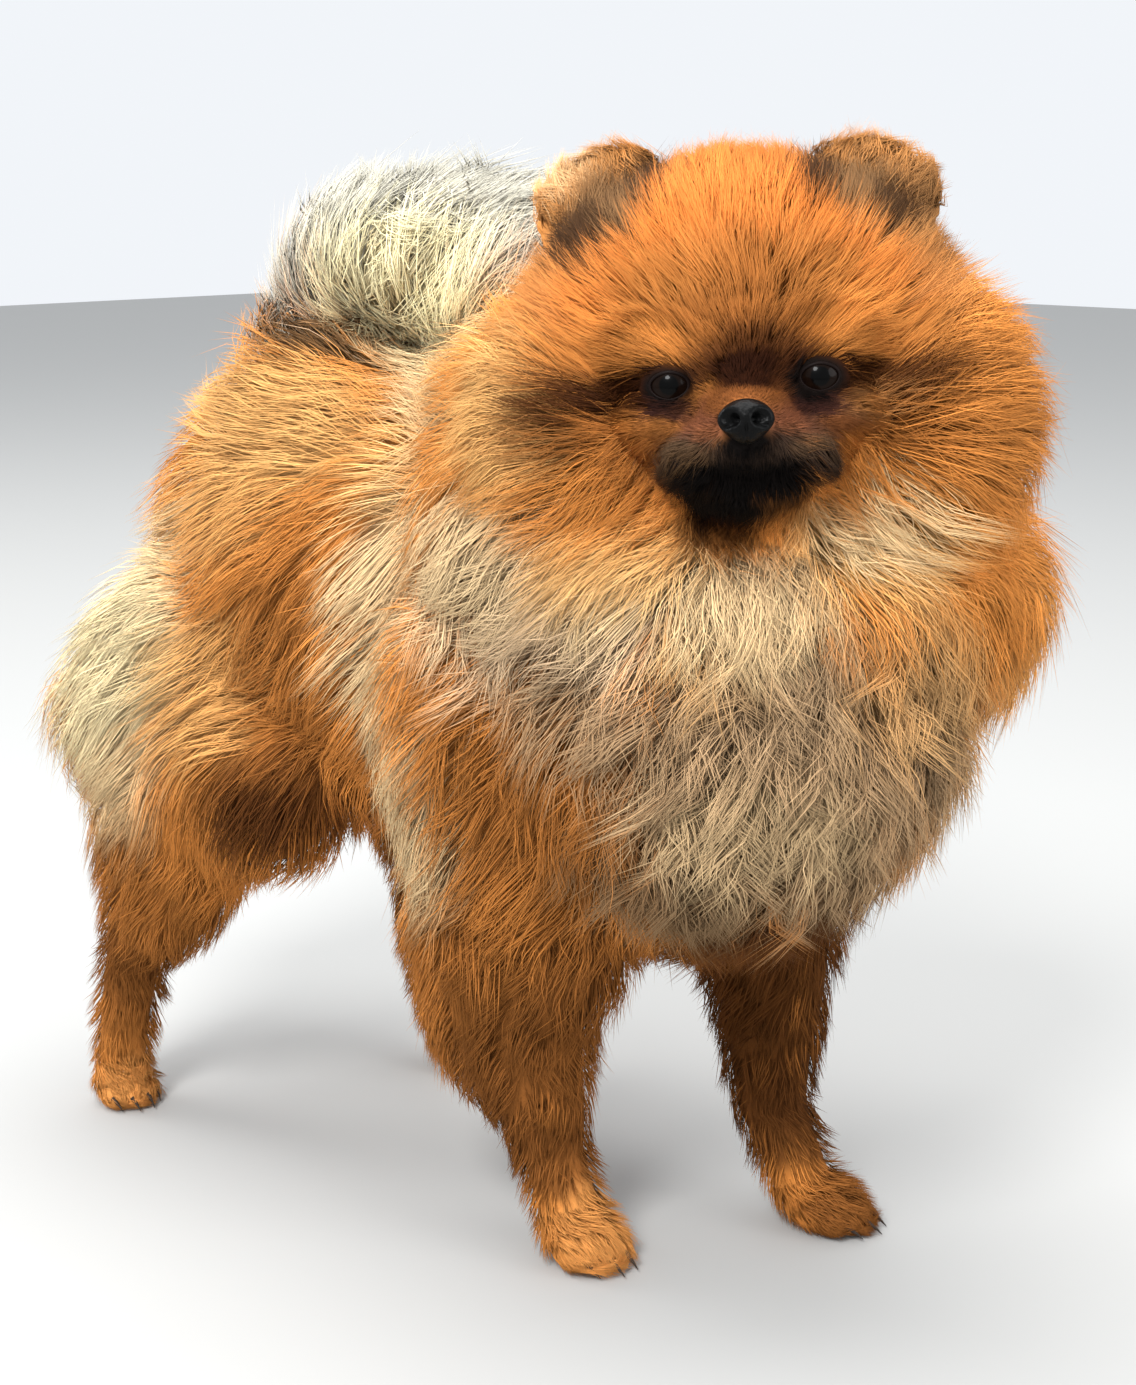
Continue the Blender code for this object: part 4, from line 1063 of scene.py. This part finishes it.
def layLocks(body, name, region, chance):
    count, rings, _ = coatPieces[name]
    faces = np.flatnonzero(np.array(lieNames)[region] == name)
    share = np.cumsum(body.areas[faces])
    picks = (np.arange(count) + chance.uniform(0, 1, count)) / count * share[-1]
    picked = faces[np.searchsorted(share, picks).clip(0, len(faces) - 1)]
    a, b = chance.uniform(0, 1, (2, count))
    fold = a + b > 1
    a, b = np.where(fold, 1 - a, a), np.where(fold, 1 - b, b)
    mix = np.stack((1 - a - b, a, b), axis=1)
    corners = body.corners[picked]
    roots = np.einsum("nk,nkj->nj", mix, body.places[corners])
    normals = unit(np.einsum("nk,nkj->nj", mix, body.normals[corners]))
    uv = np.einsum("nk,nkj->nj", mix, body.uv[picked])

    # Neighbouring locks gather round the one in their middle and share its lean
    _, sizes, _ = coatAt(roots)
    seeds = chance.permutation(count)[: max(coatLook["leastGathers"], count // coatLook["locksPerGather"])]
    tree = KDTree(len(seeds))
    for i, s in enumerate(seeds):
        tree.insert(roots[s], i)
    tree.balance()
    gather = np.array([tree.find(p)[1] for p in roots.tolist()])
    leans = chance.normal(0, 1, (len(seeds), 3))[gather]
    offset = roots - roots[seeds][gather]
    own = chance.normal(0, 1, (count, 3))
    wisp = chance.uniform(0, 1, count) < wispLook["share"]  # a few pale hairs go their own way
    waveSize = sizes[:, 2]
    shared = lockLook["tone"][0] + lockLook["tone"][1] * waveSize
    tone = 0.5 + ownLook["tone"] * own[:, 0] + shared * leans[:, 1] + wispLook["tone"] * wisp
    tone = np.clip(tone, 0, 1)
    yaw = (lockLook["yaw"][0] + lockLook["yaw"][1] * sizes[:, 2:3]).clip(0, lockLook["mostYaw"])
    ownYaw = np.where(wisp, wispLook["yaw"], ownLook["yaw"])[:, None]
    varied = 1 + lockLook["length"] * leans[:, 1] + ownLook["length"] * own[:, 1]
    length = sizes[:, 0] * mm * cm * varied.clip(*lockLook["lengthLimits"])
    wave = waveSize * mm * cm
    pull = lockLook["pull"][0] + lockLook["pull"][1] * chance.uniform(0, 1, count)
    pull = sizes[:, 3] * pull * (1 - wispLook["loose"] * wisp)
    under = chance.uniform(0, 1, count)
    overShare = 1 - underLook["share"]
    over = underLook["overFrom"] + underLook["overSpread"] * (under - underLook["share"]) / overShare
    reach = np.where(under < underLook["share"], underLook["from"] + under, over)
    lift = lockLook["lift"][0] + lockLook["lift"][1] * waveSize
    loft = sizes[:, 4] - 1 + lift * leans[:, 1] + wispLook["lift"] * wisp

    times = coatLook["ringPlaces"][rings]
    rise = np.einsum("nk,nkj->nj", mix, body.rise[corners])
    high = np.linalg.norm(rise, axis=1)
    travel = np.sqrt(np.maximum(length**2 - high**2, (coatLook["leastTravel"] * length) ** 2))
    path = [roots - normals * coatLook["sink"]]
    ups = [unit(rise)]
    here = roots
    ground = roots
    for before, t in zip(times, times[1:]):
        way, _, _ = coatAt(here)
        up = ups[-1]
        sideways = unit(np.cross(up, way))
        way = unit(way + sideways * (leans[:, 2:3] * yaw + own[:, 2:3] * ownYaw)[:, :1])
        way = unit(way - up * (way * up).sum(axis=1, keepdims=True))
        step = travel * (t - before)
        nextPlace = ground + way * step[:, None]
        ground, rise = riseAt(body, nextPlace)
        drift = ground - nextPlace
        far = np.linalg.norm(drift, axis=1)
        held = np.minimum(1, coatLook["stayOn"] * step / np.maximum(far, 1e-6))
        ground = nextPlace + drift * held[:, None]
        height = reach * (t ** lockLook["rise"] + loft * t**2)
        here = ground + rise * height[:, None]
        ups.append(unit(rise))
        phase = t * lockLook["waves"] + leans[:, 0] * lockLook["phase"] + own[:, 0] * ownLook["phase"]
        waving = np.sin(noise["turn"] * phase)
        liftOff(here)
        gathered = here - offset * (pull * t ** lockLook["bend"])[:, None]
        bent = gathered + sideways * (wave * waving * t)[:, None]
        liftOff(bent)
        path.append(bent)
    path = np.stack(path, axis=1)
    ups = np.stack(ups, axis=1)
    keep = ~(keptOffFace(path[:, -1]) | keptOffFace(path[:, -2]) | keptOffFace(path[:, 0]))
    print(name, "locks", keep.sum(), "mean rise mm", round(high.mean() * 1000, 1))
    width = lockLook["width"][0] + lockLook["width"][1] * chance.uniform(0, 1, count)
    width = sizes[:, 1] * mm * cm * width * (1 - wispLook["thin"] * wisp)
    longShare = np.minimum(1, sizes[keep, 0:1] / coatLook["strayFull"])
    return {
        "path": path[keep],
        "ups": ups[keep],
        "width": width[keep],
        "uv": uv[keep],
        "tone": tone[keep],
        "roll": own[keep, 2] * coatLook["roll"],
        "stray": (own * coatLook["stray"])[keep] * longShare,
    }


def addValues(mesh, name, kind, values):
    layer = mesh.attributes.new(name, kind, "POINT")
    key = {"FLOAT": "value", "FLOAT_COLOR": "color", "FLOAT_VECTOR": "vector"}[kind]
    if kind == "FLOAT_COLOR":
        values = np.column_stack((values, np.ones(len(values))))
    layer.data.foreach_set(key, values.astype(np.float32).ravel())


def buildLocks(name, locks, rings):
    ring, across, thick, corners = lockShape(rings)
    path, ups = locks["path"], locks["ups"]
    count = len(path)
    along = unit(np.gradient(path, axis=1))
    side = unit(np.cross(ups, along))
    up = np.cross(along, side)
    roll = locks["roll"][:, None, None]
    side, up = side * np.cos(roll) + up * np.sin(roll), up * np.cos(roll) - side * np.sin(roll)
    width = locks["width"][:, None, None]
    places = path[:, ring] + side[:, ring] * across[:, None] * width + up[:, ring] * thick[:, None] * width
    perLock = len(ring)
    faces = (corners[None] + (np.arange(count) * perLock)[:, None, None]).reshape(-1, 3)
    mesh = bpy.data.meshes.new(name)
    mesh.vertices.add(count * perLock)
    mesh.loops.add(faces.size)
    mesh.polygons.add(len(faces))
    mesh.vertices.foreach_set("co", places.astype(np.float32).ravel())
    mesh.loops.foreach_set("vertex_index", faces.astype(np.int32).ravel())
    mesh.polygons.foreach_set("loop_start", np.arange(0, faces.size, 3, dtype=np.int32))
    mesh.update(calc_edges=True)
    mesh.polygons.foreach_set("use_smooth", np.ones(len(faces), bool))
    ringPlaces = np.array(coatLook["ringPlaces"][rings])
    share = (coatLook["colourPlace"] - ringPlaces[-2]) / (1 - ringPlaces[-2])
    covered = path[:, -2] * (1 - share) + path[:, -1] * share
    deep, tip = coloursAt(covered + locks["stray"])
    times = ringPlaces[ring]
    addValues(mesh, "rootColour", "FLOAT_COLOR", np.repeat(deep, perLock, axis=0))
    addValues(mesh, "tipColour", "FLOAT_COLOR", np.repeat(tip, perLock, axis=0))
    addValues(mesh, "along", "FLOAT", np.tile(times, count))
    addValues(mesh, "tone", "FLOAT", np.repeat(locks["tone"], perLock))
    addValues(mesh, "lieNormal", "FLOAT_VECTOR", ups[:, ring].reshape(-1, 3))
    # Each lock is a small patch at its root's place on the skin's unwrap
    low, high = locks["uv"].min(axis=0), locks["uv"].max(axis=0)
    margin = coatLook["patchMargin"]
    spread = margin + (locks["uv"] - low) / (high - low) * (1 - 2 * margin)
    patch = np.stack((across / np.abs(across).max(), times * 2 - 1), axis=1) * coatLook["patch"] / 2
    vertexUv = (spread[:, None] + patch[None]).reshape(-1, 2)
    layer = mesh.uv_layers.new(name="OFBake")
    layer.data.foreach_set("uv", vertexUv[faces.ravel()].astype(np.float32).ravel())
    mesh.validate()
    coat = bpy.data.objects.new(name, mesh)
    bpy.context.scene.collection.objects.link(coat)
    return coat


# Materials
def newMaterial(name):
    made = bpy.data.materials.new(name)
    made.use_nodes = True
    made.node_tree.nodes.clear()
    return made


def addNode(tree, kind, inputs=None, **settings):
    node = tree.nodes.new(kind)
    for key, value in settings.items():
        setattr(node, key, value)
    for key, value in (inputs or {}).items():
        if isinstance(value, bpy.types.NodeSocket):
            tree.links.new(value, node.inputs[key])
        else:
            node.inputs[key].default_value = value
    return node


def finishShader(made, values):
    shader = addNode(made.node_tree, "ShaderNodeBsdfPrincipled", values)
    addNode(made.node_tree, "ShaderNodeOutputMaterial", {"Surface": shader.outputs[0]})
    return made


def mixColours(tree, share, a, b):
    node = tree.nodes.new("ShaderNodeMix")
    node.data_type = "RGBA"
    for key, value in ((0, share), (6, a), (7, b)):
        if isinstance(value, bpy.types.NodeSocket):
            tree.links.new(value, node.inputs[key])
        else:
            node.inputs[key].default_value = value
    return node.outputs[2]


def markedColour(tree, place):
    # The same markings on skin and coat: dark at the roots, pale at the tips, each lock a little different.
    # The dark roots are partly the hair's own colour and partly painted shade deep in the coat.
    root = addNode(tree, "ShaderNodeAttribute", attribute_name="rootColour").outputs["Color"]
    tip = addNode(tree, "ShaderNodeAttribute", attribute_name="tipColour").outputs["Color"]
    along = addNode(tree, "ShaderNodeAttribute", attribute_name="along").outputs["Fac"]
    tone = addNode(tree, "ShaderNodeAttribute", attribute_name="tone").outputs["Fac"]
    reach = {"Value": along, "From Min": 0.0, "From Max": 0.8, "To Min": 0.25}
    share = addNode(tree, "ShaderNodeMapRange", reach)
    colour = mixColours(tree, share.outputs["Result"], root, tip)
    speck = addNode(tree, "ShaderNodeTexNoise", {"Vector": place, "Scale": 90.0, "Detail": 3.0})
    shade = addNode(tree, "ShaderNodeMath", {0: tone, 1: speck.outputs["Fac"]}, operation="ADD")
    reach = {"Value": shade.outputs[0], "From Min": 0.4, "From Max": 1.6, "To Min": 0.62, "To Max": 1.3}
    value = addNode(tree, "ShaderNodeMapRange", reach)
    varied = addNode(tree, "ShaderNodeHueSaturation", {"Value": value.outputs["Result"], "Color": colour})
    return varied.outputs["Color"]


def coatMaterial(name):
    made = newMaterial(name)
    tree = made.node_tree
    place = addNode(tree, "ShaderNodeTexCoord").outputs["Object"]
    colour = markedColour(tree, place)
    normal = addNode(tree, "ShaderNodeNewGeometry").outputs["Normal"]
    lie = addNode(tree, "ShaderNodeAttribute", attribute_name="lieNormal").outputs["Vector"]
    scaled = addNode(tree, "ShaderNodeVectorMath", {0: lie}, operation="SCALE")
    scaled.inputs["Scale"].default_value = 2.2
    added = addNode(tree, "ShaderNodeVectorMath", {0: normal, 1: scaled.outputs[0]}, operation="ADD")
    soft = addNode(tree, "ShaderNodeVectorMath", {0: added.outputs[0]}, operation="NORMALIZE")
    return finishShader(made, {
        "Base Color": colour,
        "Roughness": 0.62,
        "Specular IOR Level": 0.03,
        "Normal": soft.outputs[0],
    })


def skinMaterial():
    made = newMaterial("shortCoatOnSkin")
    tree = made.node_tree
    place = addNode(tree, "ShaderNodeTexCoord").outputs["Object"]
    colour = markedColour(tree, place)
    fine = addNode(tree, "ShaderNodeTexNoise", {"Vector": place, "Scale": 900.0, "Detail": 4.0})
    grain = {"Height": fine.outputs["Fac"], "Strength": 0.5, "Distance": 0.0006}
    bump = addNode(tree, "ShaderNodeBump", grain)
    return finishShader(made, {
        "Base Color": colour,
        "Roughness": 0.7,
        "Specular IOR Level": 0.03,
        "Normal": bump.outputs[0],
    })


def eyeMaterial():
    made = newMaterial("wetEye")
    tree = made.node_tree
    ring = addNode(tree, "ShaderNodeAttribute", attribute_name="fromPupil").outputs["Fac"]
    place = addNode(tree, "ShaderNodeTexCoord").outputs["Object"]
    streaks = addNode(tree, "ShaderNodeTexNoise", {"Vector": place, "Scale": 700.0, "Detail": 3.0})
    iris = mixColours(tree, streaks.outputs["Fac"], (0.002, 0.001, 0.001, 1), (0.009, 0.004, 0.002, 1))
    ramp = addNode(tree, "ShaderNodeMapRange", {"Value": ring, "From Min": 0.4, "From Max": 0.5})
    colour = mixColours(tree, ramp.outputs["Result"], (0.001, 0.001, 0.001, 1), iris)
    edge = addNode(tree, "ShaderNodeMapRange", {"Value": ring, "From Min": 0.82, "From Max": 0.95})
    colour = mixColours(tree, edge.outputs["Result"], colour, (0.004, 0.003, 0.003, 1))
    white = addNode(tree, "ShaderNodeMapRange", {"Value": ring, "From Min": 1.12, "From Max": 1.25})
    colour = mixColours(tree, white.outputs["Result"], colour, (0.02, 0.010, 0.008, 1))
    return finishShader(made, {
        "Base Color": colour,
        "Roughness": 0.3,
        "Specular IOR Level": 0.02,
        "Coat Weight": 0.1,
        "Coat Roughness": 0.01,
    })


def leatherMaterial(name, low, high, roughness, grain, depth):
    made = newMaterial(name)
    tree = made.node_tree
    place = addNode(tree, "ShaderNodeTexCoord").outputs["Object"]
    cells = addNode(tree, "ShaderNodeTexVoronoi", {"Vector": place, "Scale": grain})
    blotch = addNode(tree, "ShaderNodeTexNoise", {"Vector": place, "Scale": 250.0, "Detail": 3.0})
    colour = mixColours(tree, blotch.outputs["Fac"], low, high)
    dents = {"Height": cells.outputs["Distance"], "Strength": 0.6, "Distance": depth}
    bump = addNode(tree, "ShaderNodeBump", dents)
    reach = {"Value": blotch.outputs["Fac"], "To Min": roughness - 0.08, "To Max": roughness + 0.12}
    rough = addNode(tree, "ShaderNodeMapRange", reach)
    return finishShader(made, {
        "Base Color": colour,
        "Roughness": rough.outputs["Result"],
        "Specular IOR Level": 0.06,
        "Coat Weight": 0.02,
        "Coat Roughness": 0.25,
        "Normal": bump.outputs[0],
    })


# Eyes, lids, nose and claws
def makeEye(side, name):
    centre, gaze, *_ = eyeAxes(side)
    ball = addLump("head", centre, [eye["radius"]] * 3, (90, 0, 0), 48, 32)
    settle(ball)
    ball.name = name
    places = into("head", placesOf(ball)) - centre
    angle = np.degrees(np.arccos(np.clip(unit(places) @ gaze, -1, 1)))
    swell = 1 + eye["bulge"] * smoothStep(eye["corneaAngle"], eye["bulgeFrom"], angle)
    setPlaces(ball, outOf("head", centre + places * swell[:, None]))
    addValues(ball.data, "fromPupil", "FLOAT", angle / eye["corneaAngle"])
    justThis(ball)
    bpy.ops.object.shade_smooth()
    return ball


def makeLid(side, name):
    # A rim round the opening, thicker above, that lies on the eye
    centre, gaze, across, up = eyeAxes(side)
    bpy.ops.object.select_all(action="DESELECT")
    thin = 0.25
    bpy.ops.mesh.primitive_torus_add(major_segments=56, minor_segments=10, minor_radius=thin)
    lid = bpy.context.object
    lid.name = name
    places = placesOf(lid)
    theta = np.arctan2(places[:, 1], places[:, 0])
    out = (np.hypot(places[:, 0], places[:, 1]) - 1.0) / thin
    rise = places[:, 2] / thin
    high = np.where(np.sin(theta) > 0, eye["highUp"], eye["highDown"])
    u = eye["wide"] * np.sign(np.cos(theta)) * np.abs(np.cos(theta)) ** (2 / eye["corner"])
    v = high * np.sin(theta)
    thick = eye["rimRadius"] * (1 + eye["rimTop"] * np.sin(theta))
    outward = unit(np.stack((u / eye["wide"], v / high), axis=1))
    u = u + outward[:, 0] * out * thick * eye["rimWide"]
    v = v + outward[:, 1] * out * thick * eye["rimWide"]
    radius = eye["radius"] + eye["rimOff"]
    flat = np.sqrt(np.maximum(radius**2 - u**2 - v**2, 0.01))
    on = u[:, None] * across + v[:, None] * up + flat[:, None] * gaze
    setPlaces(lid, outOf("head", centre + on + unit(on) * (rise * thick)[:, None]))
    justThis(lid)
    bpy.ops.object.mode_set(mode="EDIT")
    bpy.ops.mesh.select_all(action="SELECT")
    bpy.ops.mesh.normals_make_consistent(inside=False)
    bpy.ops.object.mode_set(mode="OBJECT")
    bpy.ops.object.shade_smooth()
    return lid


nose = {  # the nostrils' and slits' places and reaches are shares of the radii
    "place": (0, -2.33, -0.90),
    "radii": (0.65, 0.52, 0.49),
    "nostril": (0.54, -0.82, 0.14),
    "nostrilReach": (0.33, 0.5, 0.38),
    "nostrilDepth": 0.55,
    "nostrilEdge": (1.15, 0.45),
    "slit": (0.78, -0.58, -0.22),
    "slitReach": (0.26, 0.4, 0.14),
    "slitDepth": 0.2,
    "slitEdge": (1.1, 0.2),
    "wing": 0.06,
    "wingAt": 1.5,
    "wingWidth": 0.4,
    "groove": 0.1,
    "grooveWidth": 0.07,
    "grooveEdge": (0.35, -0.1),
    "narrow": 0.24,
    "narrowEdge": (0.1, -1.0),
}


def makeNose():
    pad = addLump("head", nose["place"], nose["radii"], (90, 0, 0), 72, 44)
    settle(pad)
    pad.name = "noseLeather"
    places = (into("head", placesOf(pad)) - nose["place"]) / nose["radii"]
    x, y, z = places.T
    push = np.zeros(len(places))
    for side in (-1, 1):
        hole = np.array(nose["nostril"]) * (side, 1, 1)
        far = np.linalg.norm((places - hole) / nose["nostrilReach"], axis=1)
        push -= nose["nostrilDepth"] * smoothStep(*nose["nostrilEdge"], far)
        push += nose["wing"] * np.exp(-(((far - nose["wingAt"]) / nose["wingWidth"]) ** 2))
        slit = np.array(nose["slit"]) * (side, 1, 1)
        far = np.linalg.norm((places - slit) / nose["slitReach"], axis=1)
        push -= nose["slitDepth"] * smoothStep(*nose["slitEdge"], far)
    groove = np.exp(-((x / nose["grooveWidth"]) ** 2)) * smoothStep(*nose["grooveEdge"], z)
    push -= nose["groove"] * groove * (y < 0)
    places = places * (1 + push)[:, None]
    places[:, 0] *= 1 - nose["narrow"] * smoothStep(*nose["narrowEdge"], z)
    setPlaces(pad, outOf("head", places * nose["radii"] + nose["place"]))
    justThis(pad)
    bpy.ops.object.shade_smooth()
    return pad


def makeClawModel():
    # One claw, pointing up from its root, that is copied to every toe
    bpy.ops.object.select_all(action="DESELECT")
    point = feet["clawPoint"]
    bpy.ops.mesh.primitive_cone_add(vertices=10, radius1=1.0, radius2=point, depth=1.0, location=(0, 0, 0.5))
    claw = bpy.context.object
    settle(claw)
    bpy.ops.object.mode_set(mode="EDIT")
    for height in feet["clawRings"]:
        bpy.ops.mesh.select_all(action="SELECT")
        bpy.ops.mesh.bisect(plane_co=(0, 0, height), plane_no=(0, 0, 1))
    bpy.ops.object.mode_set(mode="OBJECT")
    places = placesOf(claw)
    t = places[:, 2].copy()
    places[:, :2] *= feet["clawRadius"]
    places[:, 2] *= feet["clawLength"]
    places[:, 1] -= feet["clawCurl"] * t**2  # the point curls down
    setPlaces(claw, places)
    justThis(claw)
    bpy.ops.object.shade_smooth_by_angle(angle=math.radians(50))
    return claw


def copyClaw(model, pawName, toe):
    side, forward, radius = feet["toes"][toe]
    claw = bpy.data.objects.new(f"claw_{pawName}_{toe + 1}_horn", model.data.copy())
    bpy.context.scene.collection.objects.link(claw)
    out = -forward - radius * feet["clawBack"]
    root = Matrix.Translation((side * feet["clawApart"], out, feet["toeHeight"] + feet["clawRise"]))
    lean = turned((0, 0, -side * feet["clawSplay"])) @ turned((90.0 + feet["clawDroop"], 0, 0))
    m = np.array(frames[pawName] @ root @ lean)
    setPlaces(claw, placesOf(claw) @ m[:3, :3].T + m[:3, 3])
    return claw


def finishPiece(piece, material, nodes=()):
    piece.data.materials.clear()
    piece.data.materials.append(material)
    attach(piece, "root")
    if nodes:
        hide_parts(*nodes)


makeStudio()
print("camera, lights and floor are set")
skin = makeSkin()
shell = makeEnvelope()
print("skin faces", len(skin.data.polygons), "outer surface faces", len(shell.data.polygons))
rise = raiseSkin(skin, shell)
bpy.data.objects.remove(shell)
shapeFace(skin)
body = readBody(skin, rise)

skinDeep, skinTip = coloursAt(body.places)
addValues(skin.data, "rootColour", "FLOAT_COLOR", skinDeep)
addValues(skin.data, "tipColour", "FLOAT_COLOR", skinTip)
# The skin's short coat takes more of its dark root colour where the coat over it is deep, as painted shade
# in the gaps between the locks, and is paler where the coat is thin.
depths = np.linalg.norm(rise, axis=1)
shortCoat = {"deep": 0.45, "paler": 0.28, "between": (0.005, 0.0015), "tone": 0.35}
paleness = shortCoat["deep"] + shortCoat["paler"] * smoothStep(*shortCoat["between"], depths)
addValues(skin.data, "along", "FLOAT", paleness)
addValues(skin.data, "tone", "FLOAT", np.full(len(body.places), shortCoat["tone"]))
fleshNodes = [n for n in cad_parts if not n.startswith(("claw", "eye", "nose"))]
finishPiece(skin, skinMaterial(), fleshNodes)
print("skin is made")

lidTones = ((0.003, 0.0016, 0.0014, 1), (0.010, 0.005, 0.004, 1))
for side, word in ((-1, "right"), (1, "left")):
    finishPiece(makeEye(side, "eyeBall_" + word), eyeMaterial(), ["eye_" + word])
    lidSkin = leatherMaterial("lidSkin_" + word, *lidTones, 0.6, 1500, 0.0001)
    finishPiece(makeLid(side, "lid_" + word), lidSkin)
noseTones = ((0.001, 0.001, 0.001, 1), (0.004, 0.004, 0.004, 1))
noseLeather = leatherMaterial("noseLeather", *noseTones, 0.34, 1300, 0.00016)
finishPiece(makeNose(), noseLeather, ["nose"])
hornTones = ((0.02, 0.014, 0.011, 1), (0.05, 0.036, 0.028, 1))
horn = leatherMaterial("clawHorn", *hornTones, 0.38, 900, 0.00004)
clawModel = makeClawModel()
for pawName in stand["paws"]:
    for toe in range(len(feet["toes"])):
        claw = copyClaw(clawModel, pawName, toe)
        finishPiece(claw, horn, [f"claw_{pawName}_{toe + 1}"])
bpy.data.objects.remove(clawModel)
print("eyes, lids, nose and claws are made")

regionOfFace = coatAt(body.middles)[2]
for number, (pieceName, (_, pieceRings, slotName)) in enumerate(coatPieces.items()):
    chance = np.random.default_rng(coatLook["seed"] + number)
    locks = layLocks(body, pieceName, regionOfFace, chance)
    coat = buildLocks(pieceName, locks, pieceRings)
    finishPiece(coat, coatMaterial(pieceName + "Hair"))
    print(pieceName, "triangles", len(coat.data.polygons))
